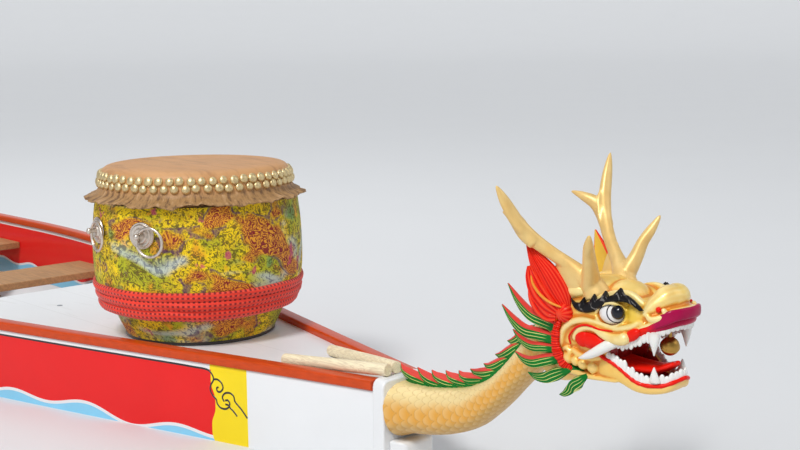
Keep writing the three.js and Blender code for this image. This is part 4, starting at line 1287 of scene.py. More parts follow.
FIN_TEETH = [  # a tooth from root to tip: place in pitches, height, half-thickness, half-height
    (1.2, 0.002, 0.2, 0.0035), (0.75, 0.008, 0.48, 0.0095), (0.25, 0.0135, 0.52, 0.0105),
    (-0.25, 0.0205, 0.4, 0.0072), (-0.55, 0.03, 0.06, 0.0008),
]


def carried(rows, sign):
    """Neck or tail rows in metres: sign 1 runs ahead of the bow, -1 behind the stern."""
    rows = np.array(rows, float) * MM
    rows[:, 0] = sign * (HALF_LENGTH + rows[:, 0])
    return rows


def scaled_limb(rows, sizes, count, sides):
    """A limb clad in scales whose free ends point to its root.

    With u counted in scales along the limb and v round it, a point lies under the scale whose
    middle is at ceil(u), shifted by half a scale in every other row, if
    (du / 0.98)^2 + (dv / 0.54)^2 < 1. The scale rises evenly towards its free edge. `low` is
    the height round the section, from -1 at the back to 1 at the belly; four fine grooves run
    along the belly.
    """
    line = spline(rows, count)
    path = line[:, :3]
    steps = np.linalg.norm(np.diff(path, axis=0), axis=1)
    angle = circle(sides)
    shrink = (line[:, 4:5] / line[0, 4]).clip(0.62)
    pitch = sizes.scale_length * shrink
    u = np.cumsum(np.concatenate([[0], steps]) / pitch[:, 0])[:, None] + 0 * angle
    v = angle / (2 * np.pi) * sizes.scales_round + 0 * u
    row = np.ceil(u)
    du = row - u
    dv = (v + 0.5 * (row % 2)) % 1.0 - 0.5
    reach = np.hypot(du / 0.98, dv / 0.54)
    lift = np.where(reach < 1, du / 0.98, -0.35 * (1 - du))
    shade = np.where(reach < 1, du, 0.0)
    rim = np.clip(1 - np.abs(reach - 1.0) / 0.08, 0, 1) * (du > 0.25)
    side, up = frames(path, TO_PORT)
    # with +Y as the reference, `side` lies in the centre plane and `up` points to a flank
    c, d = superellipse(sides, 2.5)
    low = np.cos(angle) * (1 if side[0, 2] < 0 else -1) + 0 * u
    grooves = np.clip((low - 0.8) / 0.02, 0, 1)
    comb = np.abs(((low - 0.8) * 22) % 1.0 - 0.5) * 2
    lift = lift * (1 - grooves) + grooves * (0.6 - comb)
    rim = rim * (1 - grooves) + grooves * np.clip(comb * 3 - 2.1, 0, 1)
    out = sizes.scale_relief * shrink * lift
    wide, high = line[:, 3:4] + out, line[:, 4:5] + out
    return Shape().add(swept(path, side, up, high * c, wide * d), shade=shade, rim=rim, low=low)


def blade(shape, rows, face_up, count=22, sides=24, power=3.4, tint=1.0, eave=0.0):
    """A leaf through rows of [x, y, z, half-thickness, half-height]. `across` runs over its
    height, `along` from root to tip, and `face` is 1 on its coral upper side: the flat top of a
    squarish section or, for power GABLE, a roof from the ridge down to the height `eave`."""
    line = spline(rows, count, ease=True)
    t = (0.5 - 0.5 * np.cos(np.linspace(0, np.pi, count)))[:, None]
    if power == GABLE:
        turn = np.linspace(0, 4, sides, endpoint=False)
        c = np.interp(turn, [0, 1, 2, 3, 3.4, 4], [1, 0, -1, -0.9, 0.9, 1])
        d = np.interp(turn, [0, 1, 2, 3, 3.4, 4], [eave, 1, eave, -1, -1, eave])
        edge = eave - 0.01
    else:
        c, d = superellipse(sides, power)
        edge = 0.9
    side, lift = frames(line[:, :3], face_up)
    if lift[2, 2] < 0:
        side, lift = -side, -lift
    grid = swept(line[:, :3], side, lift, line[:, 3:4] * c, line[:, 4:5] * d)
    face = (d > edge) * tint + 0 * t
    return shape.add(grid, across=0.5 + 0.5 * d + 0 * t, along=t + 0 * d, face=face)


def fin(rows, sign, teeth, start, end, thickness):
    """A ridge along a limb's back and `teeth` leaves on it, swept towards the limb's root.

    A tooth's path runs from low on the ridge, 1.2 teeth ahead, up and back to its tip.
    """
    ahead, above, thick, high = np.array(FIN_TEETH).T
    line = spline(carried(rows, sign), 300)
    path = line[:, :3]
    tangent = unit(np.gradient(path, axis=0))
    back = unit(np.cross(tangent, (0, -sign, 0)))
    back = back * np.sign(back[0, 2])
    steps = travelled(path)

    def spot(fraction, over):
        """Points over the limb's back at fractions of its length."""
        s = fraction * steps[-1]
        column = [np.interp(s, steps, values) for values in (*path.T, *back.T, line[:, 4])]
        root, out = np.stack(column[:3], -1), np.stack(column[3:6], -1)
        return root + out * (column[6] + over)[..., None]

    shape = Shape()
    pitch = (end - start) / teeth
    t = np.linspace(start - 0.35 * pitch, end + 0.6 * pitch, 120)
    half = np.clip(np.minimum(t - t[0], t[-1] - t) / (0.5 * pitch), 0.12, 1)
    grid = tube(spot(t, 0.001), thickness * 0.4 * half, 0.0075 * half, UP, 16, 2.6)
    shape.add(grid, across=0.5, along=0.0, face=0.0)
    for n in range(teeth):
        scale = 1.0 if sign > 0 else 1 - 0.45 * n / teeth
        thin, eave = (1.0, 0.42) if n < 5 else (0.72, 0.65)
        points = spot(start + (n + ahead) * pitch, above * scale)
        halves = np.stack([thick * thickness * scale * thin, high * scale], 1)
        blade(shape, np.hstack([points, halves]), UP, power=GABLE, eave=eave)
    return shape


class NeckAndTailOperator(Operator):
    """The scaled neck and tail with their fins, and the flame at the tail's tip"""

    bl_idname = "boat.neck_and_tail"
    bl_label = "Neck and tail"

    def execute(self, context):
        sizes = context.scene.dragon_sizes
        for name, rows, sign, steps, sides, teeth, start, end, share in (
            ("neck", NECK_ROWS, 1, 330, 200, 9, 0.045, 0.86, 1.0),
            ("tail", TAIL_ROWS, -1, 380, 180, 11, 0.05, 0.93, 0.9),
        ):
            shape = scaled_limb(carried(rows, sign), sizes, steps, sides)
            place(f"scaled_{name}", shape, "gold_scales", "gold_paint", name)
            shape = fin(rows, sign, teeth, start, end, sizes.crest_thickness * share)
            place(f"{name}_fin", shape, "leaf_green", "green_paint", f"{name}_crest", sharp=40)
        self.flame()
        return {"FINISHED"}

    def flame(self):
        """Seven tongues from one root, each a leaf on a curve."""
        shape = Shape()
        tongues = [  # x, z of the root, the bend and the tip, then the half-width
            ((196, 480), (250, 540), (268, 622), 15), ((198, 488), (232, 560), (236, 650), 14),
            ((194, 494), (196, 580), (192, 664), 15), ((188, 494), (158, 570), (147, 642), 14),
            ((184, 486), (140, 545), (118, 604), 13), ((200, 478), (228, 508), (252, 540), 9),
            ((184, 482), (160, 500), (136, 520), 8),
        ]
        for number, ((x0, z0), (x1, z1), (x2, z2), half) in enumerate(tongues):
            lean = (number % 3 - 1) * 5
            rows = [
                (x0, 0, z0, 6, half * 0.7), ((x0 + x1) / 2, lean * 0.4, (z0 + z1) / 2, 7, half),
                (x1, lean, z1, 6, half * 0.85),
                ((x1 + x2) / 2 + (x1 - x0) * 0.08, lean, (z1 + z2) / 2, 4, half * 0.5),
                (x2, lean * 0.8, z2, 0.8, 0.8),
            ]
            blade(shape, carried(rows, -1), TO_PORT, 26, 18, 2.6, tint=0.0)
        shape.add(lump((-HALF_LENGTH - 0.192, 0, 0.484), (0.017, 0.013, 0.02)), across=0.5)
        place("tail_flame_tongues", shape, "ear_red", "red_paint", "tail_flame")


# ---- dragon: head

SKULL_ROWS = [  # x, top, bottom, half-width
    (388, 392, 272, 34), (396, 408, 256, 48), (415, 424, 252, 58), (440, 432, 258, 63),
    (470, 433, 290, 64), (500, 430, 318, 62), (530, 424, 339, 59), (555, 417, 350, 56),
    (580, 412, 360, 52), (600, 411, 371, 48), (622, 410, 381, 42), (638, 410, 390, 35),
    (648, 410, 397, 27), (655, 410, 403, 17), (658, 409, 405, 8),
]
JAW_ROWS = [  # the same columns
    (446, 296, 268, 34), (462, 300, 269, 46), (485, 300, 271, 52), (510, 299, 275, 53),
    (535, 298, 279, 51), (558, 296, 280, 48), (580, 288, 273, 43), (600, 284, 269, 38),
    (618, 282, 269, 32), (632, 285, 275, 25), (641, 291, 283, 16), (645, 295, 290, 6),
]
SOCKET = (546, 389.5, 25, 20, 15)  # x, z, half-length, half-height, depth of the eye's hollow
HEAD_LUMPS = [  # x, y, z, radii along x, y, z, turn in degrees
    (540, 0, 408, 34, 38, 27, 0), (548, 32, 404, 34, 20, 19, 0), (590, 44, 384, 20, 11, 11, 14),
    (505, 40, 328, 45, 17, 35, 0), (500, 0, 325, 39, 47, 39, 0), (508, 50, 352, 42, 14, 20, 0),
    (469, 58, 309, 11, 9, 11, 0), (484, 59, 306, 9, 8, 9, 0), (498, 59, 303, 9, 8, 9, 0),
    (515, 56, 300, 10, 8, 10, 0), (470, 46, 418, 32, 18, 16, 0), (448, 52, 300, 13, 11, 13, 0),
    (500, 0, 424, 30, 40, 14, 0), (588, 40, 392, 22, 14, 17, 20), (612, 36, 388, 18, 11, 11, -20),
]
HEAD_ROLLS = [  # paths of x, y, z, half-width, half-height, or of x, y, z, radius
    # cheek roll, its outer wrinkle, and the fold under the eye
    [(482, 62, 338, 4), (486, 63, 349, 5), (495, 64, 359, 6), (510, 65, 365, 6), (526, 65, 365, 6),
     (542, 64, 359, 8), (558, 62, 355, 9), (572, 60, 355, 10), (586, 57, 361, 10)],
    [(455, 56, 318, 5), (456, 60, 336, 6), (463, 62, 354, 6), (478, 63, 367, 6), (500, 64, 374, 6),
     (522, 63, 374, 5), (542, 61, 370, 5), (562, 59, 369, 5), (585, 55, 376, 5), (600, 51, 385, 4)],
    # upper and lower lids
    [(519, 55, 384, 2.5, 2.5), (526, 59, 397, 3, 3.5), (538, 61, 406, 3, 4), (552, 60, 409.5, 3, 4),
     (565, 54, 404, 3, 3), (574, 49, 396, 2.5, 3)],
    [(519, 55, 386, 2.5), (527, 60, 377, 3), (541, 62, 371, 3), (556, 61, 371.5, 3), (568, 55, 377, 3),
     (575, 50, 388, 2.5)],
    # ridge that carries the brow, down to the bridge of the nose
    [(474, 50, 396, 6, 6), (496, 50, 397, 7, 8), (520, 49, 406, 7, 9), (548, 45, 417, 7, 9),
     (572, 40, 420, 6, 8), (592, 39, 411, 6, 7), (604, 40, 404, 5, 6)],
    # the nose: one roll across it that ends in the nostrils' curls, and the flare beside them
    [(622, -20, 416, 20, 20), (624, 0, 418, 21, 21), (622, 13, 418, 20, 21), (616, 25, 412, 17, 17),
     (610, 35, 405, 13, 13), (607, 42, 398, 9.5, 9.5), (609, 46, 391, 6, 6)],
    [(608, 46, 398, 4), (616, 47, 391, 5), (628, 43, 393, 5), (636, 38, 400, 4.5), (632, 40, 409, 4)],
    # the flared edge of the upper lip
    [(560, 55, 356, 4), (572, 54, 362, 4), (586, 52, 370, 4), (600, 49, 376, 4), (613, 46, 382, 4),
     (625, 43, 389, 4), (636, 38, 398, 3), (644, 32, 402, 2), (650, 23, 404, 2), (652, 13, 404.5, 2),
     (653, -2, 404, 2)],
    # the jaw's rim under the lower lip and the folds at its corner
    [(500, 48, 303, 8, 18), (535, 49, 303, 7, 19), (549, 47, 300, 7, 17), (562, 44, 295, 7, 14),
     (575, 42, 288, 7, 12), (585, 40, 283, 7, 11), (595, 37.5, 280, 6.5, 10), (610, 32.5, 279, 6, 9),
     (628, 25, 282, 6, 8), (638, 16, 288, 5, 6.5), (642, -2, 292, 5, 6)],
    [(448, 48, 292, 6, 6), (470, 54, 287, 6, 6), (500, 55, 284, 6, 5), (530, 52, 284, 5, 4),
     (560, 48, 284, 3, 3)],
    [(470, 56, 324, 6, 5), (492, 58, 316, 6, 5), (512, 56, 314, 6, 6), (530, 53, 319, 5, 5)],
    # the ring curl behind the jaw
    [(458, 60, 318, 3), (466, 62, 324, 3.5), (474, 62, 318, 3.5), (472, 62, 308, 3), (464, 62, 308, 2.5)],
]
# Plans of the two gums: y against the x of the upper one and of the lower one
GUM_Y = [0, 10, 20, 28, 34, 40, 44, 48, 53, 56]
UPPER_X = [657, 655.5, 651, 645, 638, 626, 615, 602, 575, 545]
LOWER_X = [646, 643, 636, 626, 612, 592, 578, 563, 535, 505]
MOUTH_FLOOR = [  # x, z
    (500, 293), (535, 292), (558, 290), (580, 283), (600, 279), (618, 278), (632, 281), (645, 290),
]


def upright_form(rows, count, sides, power=2.4):
    """P = (x, half-width c, middle + half-height d): upright squarish sections along x."""
    x, top, low, wide = spline(rows, count).T[..., None] * MM
    c, d = superellipse(sides, power)
    return stacked(x + HALF_LENGTH, wide * c, (top + low) / 2 + (top - low) / 2 * d)


def carved_lump(row, sides):
    """The ellipsoid of a table's row: x, y, z, radii along x, y, z, turn in degrees."""
    return lump(at_bow([row[:3]])[0], np.array(row[3:6]) * MM, sides, math.radians(row[6]))


def remeshed(shape, name, voxel, smooth):
    """The union of overlapping closed surfaces: a voxel remesh, then a few smoothing passes."""
    source = shown(name, shape.mesh(name))
    remesh = source.modifiers.new("union", "REMESH")
    remesh.mode, remesh.voxel_size, remesh.use_smooth_shade = "VOXEL", voxel, True
    soften = source.modifiers.new("soften", "SMOOTH")
    soften.factor, soften.iterations = 0.5, smooth
    bpy.context.view_layer.update()
    graph = bpy.context.evaluated_depsgraph_get()
    mesh = bpy.data.meshes.new_from_object(source.evaluated_get(graph))
    bpy.data.objects.remove(source)
    mesh.name = name
    return mesh


def read(data, field, width):
    values = np.empty(len(data) * width, np.float32)
    data.foreach_get(field, values)
    return values.reshape(-1, width).astype(float)


def hollows(mesh, passes, gain):
    """0 on ridges and 1 in hollows: how far the mean of a point's neighbours lies along its
    normal, averaged over the neighbours `passes` times."""
    points, normals = read(mesh.vertices, "co", 3), read(mesh.vertices, "normal", 3)
    edges = np.empty(len(mesh.edges) * 2, np.int32)
    mesh.edges.foreach_get("vertices", edges)
    a, b = edges.reshape(-1, 2).T
    degree = np.bincount(edges, minlength=len(points)).clip(1)[:, None]

    def neighbours(values):
        total = [
            np.bincount(a, column[b], len(points)) + np.bincount(b, column[a], len(points))
            for column in values.T
        ]
        return np.stack(total, 1) / degree

    mean = points
    for _ in range(passes):
        mean = neighbours(mean)
    bend = ((mean - points) * normals).sum(1, keepdims=True)
    for _ in range(3):
        bend = neighbours(bend)
    return np.clip(0.5 + gain * bend[:, 0], 0, 1)


class HeadOperator(Operator):
    """The carved head and jaw: lofted forms, lumps and rolls joined into one skin"""

    bl_idname = "boat.head"
    bl_label = "Head"

    def execute(self, context):
        sizes = context.scene.dragon_sizes
        skull = upright_form(SKULL_ROWS, 170, 128)
        x, z, long, high, deep = SOCKET
        reach = ((skull[..., 0] - HALF_LENGTH) / MM - x) ** 2 / long**2
        reach = reach + (skull[..., 2] / MM - z) ** 2 / high**2
        skull[..., 1] -= np.sign(skull[..., 1]) * np.sqrt(np.clip(1 - reach, 0, 1)) * deep * MM
        shape = Shape().add(skull).add(upright_form(JAW_ROWS, 60, 40))
        for row in HEAD_LUMPS:
            (shape.both if row[1] else shape.add)(carved_lump(row, 26))
        for rows in HEAD_ROLLS:
            shape.both(limb(at_bow(rows), 50, 16, round_ends=0.08))
        mesh = remeshed(shape, "carved_head", sizes.voxel, 4)
        self.paint(mesh)
        place("carved_head", mesh, "gold_carving", "gold_paint", "head", "jaw")
        return {"FINISHED"}

    def paint(self, mesh):
        """Hollows from the bend of the surface, which the gold paint turns into painted shade in the
        hollows and painted highlights on the ridges; the mouth from the gums' plans, between the jaw's
        floor and the palate; yellow round the eye."""
        points = read(mesh.vertices, "co", 3)
        x, y, z = (points[:, 0] - HALF_LENGTH) / MM, np.abs(points[:, 1]) / MM, points[:, 2] / MM
        skull = np.array(SKULL_ROWS, float)
        palate = np.interp(x, skull[:, 0], skull[:, 2])
        floor = np.interp(x, *np.array(MOUTH_FLOOR).T)
        upper = np.interp(x, UPPER_X[::-1], GUM_Y[::-1]) - 6
        lower = np.interp(x, LOWER_X[::-1], GUM_Y[::-1]) - 6
        middle = (palate + floor) / 2
        inside = (x > 493) & (y < np.where(z > middle, upper, lower)) & (z > floor) & (z < palate + 6)
        near = ((x - 578) / 26) ** 2 + ((z - 396) / 20) ** 2
        set_values(mesh, "hollow", hollows(mesh, 6, 1200))
        set_values(mesh, "mouth", inside.astype(float))
        set_values(mesh, "yellow", np.clip(1.2 - near, 0, 1) * (y > 36))


LIP_BAND = [  # x, y, z, half-thickness, half-height: port half of the flared upper lip
    (552, 57, 350, 3, 3), (571, 56.5, 352, 3, 4), (590, 51.5, 366, 3, 5), (601, 49.5, 372, 3, 6),
    (613, 46.5, 378, 3, 6), (624, 44.5, 385.5, 3, 8), (636, 40.5, 392, 3.5, 9),
    (645, 34.5, 397.5, 3.5, 9.5), (653, 23, 400, 3.5, 9), (656.5, 0, 400.5, 3.5, 9),
]
GUM = [  # the same columns
    (588, 50, 360, 4, 4), (600, 47, 366, 4, 5), (612, 43.5, 372, 4, 6), (624, 39.5, 378, 4.5, 7),
    (635, 33, 383, 5, 8), (644, 20, 387, 7, 8), (648, 0, 388, 8, 8),
]
LOWER_LIP = [  # the same columns
    (528, 55, 322, 2.5, 2.5), (535, 55, 318.5, 3, 3.2), (549, 53.5, 313.5, 3, 3.2),
    (562, 50.5, 306, 3, 3.2), (575, 47.5, 296.5, 3, 3.2), (585, 45.5, 290, 3, 3.2),
    (595, 42.5, 286, 3, 3.2), (610, 38, 284.5, 3, 3.2), (628, 30, 286.5, 3, 3.2), (640, 20, 292, 3, 3.2),
    (646, 7, 296, 3, 3.2), (647, 0, 297, 3, 3.2),
]
CHEEK_LINE = [  # x, y, z, radius
    (479, 66, 332, 1.6), (476, 67, 344, 1.8), (483, 69, 354, 1.8), (493, 70, 363, 1.8),
    (508, 71, 369, 1.8), (523, 70.5, 369, 1.8), (539, 69, 366, 1.6), (560, 65, 366.5, 1.2),
]
CHEEK_LUMPS = [  # x, y, z, radii along x, y, z, turn in degrees
    (515, 61, 344, 30, 8, 14, 6), (500, 62, 345, 15, 8, 14, 0), (588, 54, 363, 16, 7, 9, -34),
    (626, 41, 406, 4.5, 4, 4.5, 0), (545, 58, 347, 17, 7, 6, 12), (574, 57, 353, 15, 7, 7, -20),
]
BROW_LOW = [  # x, z of the brow's lower edge at y 58
    (474, 403), (484, 388), (500, 385), (515, 388), (531, 397), (546, 406), (561, 411), (576, 412),
    (589, 409), (601, 402),
]
BROW_HIGH = [  # x, z of its upper edge at y 50: five tips that lean to the stern
    (468, 402), (478, 397), (488, 398), (495, 408), (498, 399.5), (506, 403), (514, 416), (518, 407),
    (526, 411), (535, 424), (539, 414), (550, 419), (563, 432), (567, 423), (575, 421.5), (585, 416.5),
    (595, 409), (603, 402),
]
UPPER_TEETH = [  # x, y, root z, tooth height
    (551, 54, 349, 10), (557, 53.5, 352, 15), (568, 52, 355, 19), (579, 51, 358, 22),
    (590, 49.5, 361, 20), (600, 47, 366, 18), (612, 44, 371, 17), (625, 38.5, 376, 14),
    (636, 31, 381, 13), (645, 18, 385, 13), (648, 0, 386, 13),
]
LOWER_TEETH = [  # the same columns
    (539, 52, 316, 11), (549, 51, 313, 15), (556, 50, 309, 18), (569, 47, 299, 20), (582, 43.5, 289, 20),
    (594, 40, 284, 19), (606, 36, 282, 18), (622, 29, 284, 17), (633, 21.5, 289, 17), (641, 9, 293, 17),
    (642.5, 0, 294, 17),
]


def whole(rows):
    """A port path and its mirror image in one run, through the centreline at the last row."""
    rows = np.array(rows, float)
    return np.vstack([rows, rows[-2::-1] * (1, -1, 1, *np.ones(rows.shape[1] - 3))])


class FaceOperator(Operator):
    """Lips, cheek lines, brows and eyes"""

    bl_idname = "boat.face"
    bl_label = "Face"

    def execute(self, context):
        self.lips()
        self.brows()
        for name, side in SIDES:
            self.eye(name, side)
        return {"FINISHED"}

    def lips(self):
        """Upper gum, lower lip, cheek lines, the hollow of the cheek and the nostrils' dots."""
        shape = Shape()
        upper = limb(at_bow(whole(LIP_BAND)), 150, 18, round_ends=0.03, power=2.6)
        gum = limb(at_bow(whole(GUM)), 110, 14, round_ends=0.03)
        for grid, most in ((upper, 1.0), (gum, 0.85)):
            front = np.clip((grid[..., 0] - HALF_LENGTH - 0.61) / 0.016, 0, 1)
            shape.add(grid, front=most * front)
        knots = spline(at_bow(whole(LOWER_LIP)), 150, ease=True)
        knots[:, 3:] *= (1 + 0.08 * np.sin(np.arange(150) * 1.3))[:, None]
        shape.add(tube(knots[:, :3], knots[:, 3], knots[:, 4], sides=16))
        shape.both(limb(at_bow(CHEEK_LINE), 60, 10, round_ends=0.05))
        for row in CHEEK_LUMPS:
            shape.both(carved_lump(row, 24))
        place("lips_and_cheeks", shape, "lip_paint", "red_paint", sharp=70)

    def brows(self):
        """A squarish section between the brow's lower edge and its sawtooth upper edge."""
        count = 200
        t = np.linspace(0, 1, count)
        low = spline(BROW_LOW, count)
        high = np.array(BROW_HIGH, float)
        s = np.linspace(0, 1, len(high))
        high = np.stack([np.interp(t, s, column) for column in high.T], 1)
        low = at_bow(np.insert(low + (1, 1), 1, 62 - 5 * t**2, 1))
        high = at_bow(np.insert(high + (5, 2), 1, 58 - 5 * t**2, 1))
        near = np.clip(np.minimum(t, 1 - t) / 0.05, 0.05, 1)[:, None, None]
        c, d = superellipse(16, 2.6)
        thick = np.array([0.0, 0.0058, 0.0025]) * c[:, None] * near
        grid = (low + high)[:, None] / 2 + (high - low)[:, None] / 2 * d[:, None] + thick
        far = grid * (1, -1, 1)
        grid = grid - np.array([0, 0, 0.007]) * (t > 0.45)[:, None, None] * (d > 0)[:, None]
        hair = t[:, None] * 0.22 + 0.012 * d
        shape = Shape().add(far, hair=hair).add(grid, hair=hair)
        place("brows", shape, "brow_black", "black_paint", sharp=70)

    def eye(self, name, side):
        """An ellipsoid with a raised ball for the pupil. `gaze` is the distance from the
        pupil's middle in pupil radii."""
        centre, pupil = at_bow([(546, 46.5, 389.5), (564, 59, 395.5)], side)
        white = lump(centre, (0.0235, 0.0175, 0.0182), 64)
        gaze = np.linalg.norm(white - pupil, axis=-1) / 0.0118
        ball = lump(pupil, (0.0112, 0.009, 0.0112), 40)
        shape = Shape().add(white, gaze=gaze.clip(1.1)).add(ball, gaze=0.0)
        place(f"eyeball_{name}", shape, "eye_gloss", "eye_paint", f"eye_{name}")


def tooth_row(shape, path, count, jag, down, seed):
    """Teeth side by side along a path of x, y, root z and height. One tooth is a squarish
    section that shrinks to its edge: (wide c, thick d) (1 - t^3)^0.5 at depth t."""
    rng = np.random.default_rng(seed)
    line = spline(at_bow(path), 400)
    s = travelled(line[:, :3])
    tangent = unit(np.gradient(line[:, :3], axis=0))
    c, d = superellipse(14, 2.8)
    t = np.array([0.0, 0.35, 0.65, 0.85, 0.96, 1.0])[:, None]
    taper = np.sqrt(np.clip(1 - t**3.2, 0.02, 1))
    half, thick = s[-1] / count * 0.72, 0.0034
    for n in range(count):
        at = s[-1] * (n + 0.5) / count
        x, y, z, tall = (np.interp(at, s, col) for col in line.T)
        along = unit(np.array([np.interp(at, s, col) for col in tangent.T]) * (1, 1, 0.3))
        out = unit(np.cross(UP, along))
        high = tall * (1 + jag * rng.uniform(-1, 0.4) + jag * (0.3 if n % 2 else -0.3))
        grid = np.array([x, y, z]) + (half * c * taper)[..., None] * along
        grid = grid + (thick * d * taper)[..., None] * out
        grid = grid + (down * high * t + 0 * c)[..., None] * np.array([0, 0, 1.0])
        shape.add(grid, root=1 - t + 0 * c)


class TeethOperator(Operator):
    """Teeth, canines and tusks, the tongue, and the bell in the mouth"""

    bl_idname = "boat.teeth"
    bl_label = "Teeth and tongue"

    def execute(self, context):
        shape = Shape()
        tooth_row(shape, whole(UPPER_TEETH), 34, 0.12, -1, 2)
        tooth_row(shape, whole(LOWER_TEETH), 34, 0.16, 1, 3)
        canines = [
            [(618, 41, 369, 7, 10), (619, 42, 360, 7, 9.5), (620, 42, 350, 5.6, 6),
             (620, 42, 342, 3, 3.4), (620, 42, 334, 0.8, 0.8)],
            [(617, 35, 292, 6, 10), (617, 36, 299, 5.5, 7.5), (617, 37, 307, 4, 4),
             (617, 37, 315, 0.8, 0.8)],
        ]
        for rows in canines:
            grid = limb(at_bow(rows), 24, 16, up=TO_BOW)
            shape.both(grid, root=np.linspace(1, 0, 24)[:, None])
        place("teeth", shape, "ivory", "ivory_paint", sharp=70)
        for name, side in SIDES:
            rows = [(566, 50, 350, 7), (556, 60, 346, 8.5), (545, 67, 339, 8.5), (530, 72, 329, 7.5),
                    (515, 74.5, 321, 5), (502, 75, 316, 1)]
            grid = limb(at_bow(rows, side), 44, 22, up=TO_PORT)
            shape = Shape().add(grid, root=0.4 * np.linspace(1, 0, 44)[:, None])
            place(f"curved_tusk_{name}", shape, "ivory", "ivory_paint", f"tusk_{name}", sharp=70)
        self.tongue()
        self.bell()
        return {"FINISHED"}

    def tongue(self):
        """A flat limb with a groove: the top sinks by a bell curve of y."""
        rows = [(492, 0, 303, 24, 9), (530, 0, 304, 28, 9), (570, 0, 302, 28, 8.5),
                (600, 0, 304, 25, 7.5), (620, 0, 311, 19, 6), (634, 0, 318.5, 10, 4)]
        grid = limb(at_bow(rows), 60, 36, round_ends=0.05, power=2.3)
        middle = np.exp(-((grid[..., 1] / 0.005) ** 2)) * 0.003
        top = grid[..., 2] > grid[..., 2].mean(1, keepdims=True)
        grid[..., 2] -= middle * top
        place("grooved_tongue", Shape().add(grid), "scarlet_paint", "red_paint", "tongue", sharp=70)

    def bell(self):
        """A ball turned on a leaning axis, with a rim at its equator, a dark slit below it and
        a stem up to the palate."""
        radius, equator, slit, lean = 0.0148, 1.57, 2.15, math.radians(24)
        b = np.linspace(0.03, np.pi - 0.03, 56)
        rim = 1 + 0.05 * np.exp(-(((b - equator) / 0.09) ** 2))
        rim = radius * (rim - 0.05 * np.exp(-(((b - slit) / 0.06) ** 2)))
        ball = turned(np.stack([rim * np.sin(b), rim * np.cos(b)], 1), (0, 0, 0), 48)
        ball = rotated(rotated(ball, "Y", lean), "X", lean) + at_bow([(619, 0, 342)])[0]
        shape = Shape().add(ball, hollow=np.clip(1.4 - np.abs(b - slit) / 0.09, 0, 1)[:, None])
        stem = [(619, 0, 354, 3), (619, 0, 368, 2.4), (619, 0, 380, 3)]
        shape.add(limb(at_bow(stem), 12, 12, up=TO_BOW))
        place("hollow_bell", shape, "bell_brass", "brass", "mouth_bell")


LEAN_FROM, LEAN_SHARE = 0.47, 0.12  # above this height the antlers lean up to port
BRANCHES = [  # x, y, z, half-width, half-height
    [(508, 36, 406, 26, 24), (500, 40, 424, 20, 20), (487, 49, 441, 15, 15), (467, 61, 459, 12, 10),
     (445, 75, 477, 11, 10), (423, 91, 500, 12, 10), (406, 109, 530, 10, 12), (398, 124, 560, 8, 11),
     (394, 134, 580, 6, 8), (390, 144, 601, 2, 2)],
    [(427, 90, 492, 12, 11), (412, 98, 510, 13, 12), (397, 98, 526, 12, 11), (376, 91, 536, 8, 8),
     (352, 86, 543, 2, 2)],
    [(498, 42, 422, 14, 18), (504, 50, 441, 13, 16), (510, 60, 462, 11, 13), (515, 69, 482, 9, 11),
     (523, 80, 500, 8, 8), (533, 91, 521, 2.5, 2.5)],
    [(428, 84, 488, 4, 8), (414, 92, 508, 5, 10), (404, 102, 532, 5, 10), (398, 112, 552, 1, 2)],
    [(468, 50, 404, 22, 9), (465, 59, 430, 24, 7), (462, 65, 452, 18, 5), (462, 68, 468, 8, 3.5),
     (464, 69, 478, 1.5, 1.5)],
]


class AntlersOperator(Operator):
    """The forked antlers: five limbs a side, joined with soft webs"""

    bl_idname = "boat.antlers"
    bl_label = "Antlers"

    def execute(self, context):
        for name, side in SIDES:
            shape = Shape()
            for rows in BRANCHES:
                line = at_bow(rows, side)
                line[:, 2] += side * LEAN_SHARE * np.clip(line[:, 2] - LEAN_FROM, 0, None)
                shape.add(limb(line, 60, 22, up=TO_PORT, round_ends=0.04))
            mesh = remeshed(shape, "antler", context.scene.dragon_sizes.voxel, 8)
            # `hollow` feeds the orange painted shade in the antlers' hollows
            set_values(mesh, "hollow", hollows(mesh, 5, 900))
            place(f"forked_antler_{name}", mesh, "antler_gold", "gold_paint", f"antler_{name}")
        return {"FINISHED"}


EAR_FLAPS = [  # x, y, z, half-thickness, half-width; then the ridges across it and its curl
    ([(468, 62, 384, 4, 8), (458, 67, 398, 5, 20), (446, 73, 418, 5, 25), (432, 78, 442, 4.5, 22),
      (418, 83, 466, 4, 13), (404, 87, 490, 1, 1)], 10, 0.0),
    ([(456, 71, 382, 5, 8), (440, 76, 394, 7, 13), (424, 80, 412, 7, 14), (413, 83, 434, 5.5, 10),
      (408, 85, 452, 1.5, 3)], 3, 0.5),
    ([(454, 72, 372, 3, 5), (440, 75, 373, 5, 8), (427, 78, 383, 6, 10), (416, 81, 400, 5, 9),
      (409, 83, 420, 2, 4)], 2, 0.5),
]
EAR_RIM = [  # x, y, z, radius
    (468, 77, 392, 1.4), (450, 83, 398, 2.2), (434, 88, 409, 2.4), (422, 91, 424, 2.2),
    (416, 90, 438, 1.2),
]


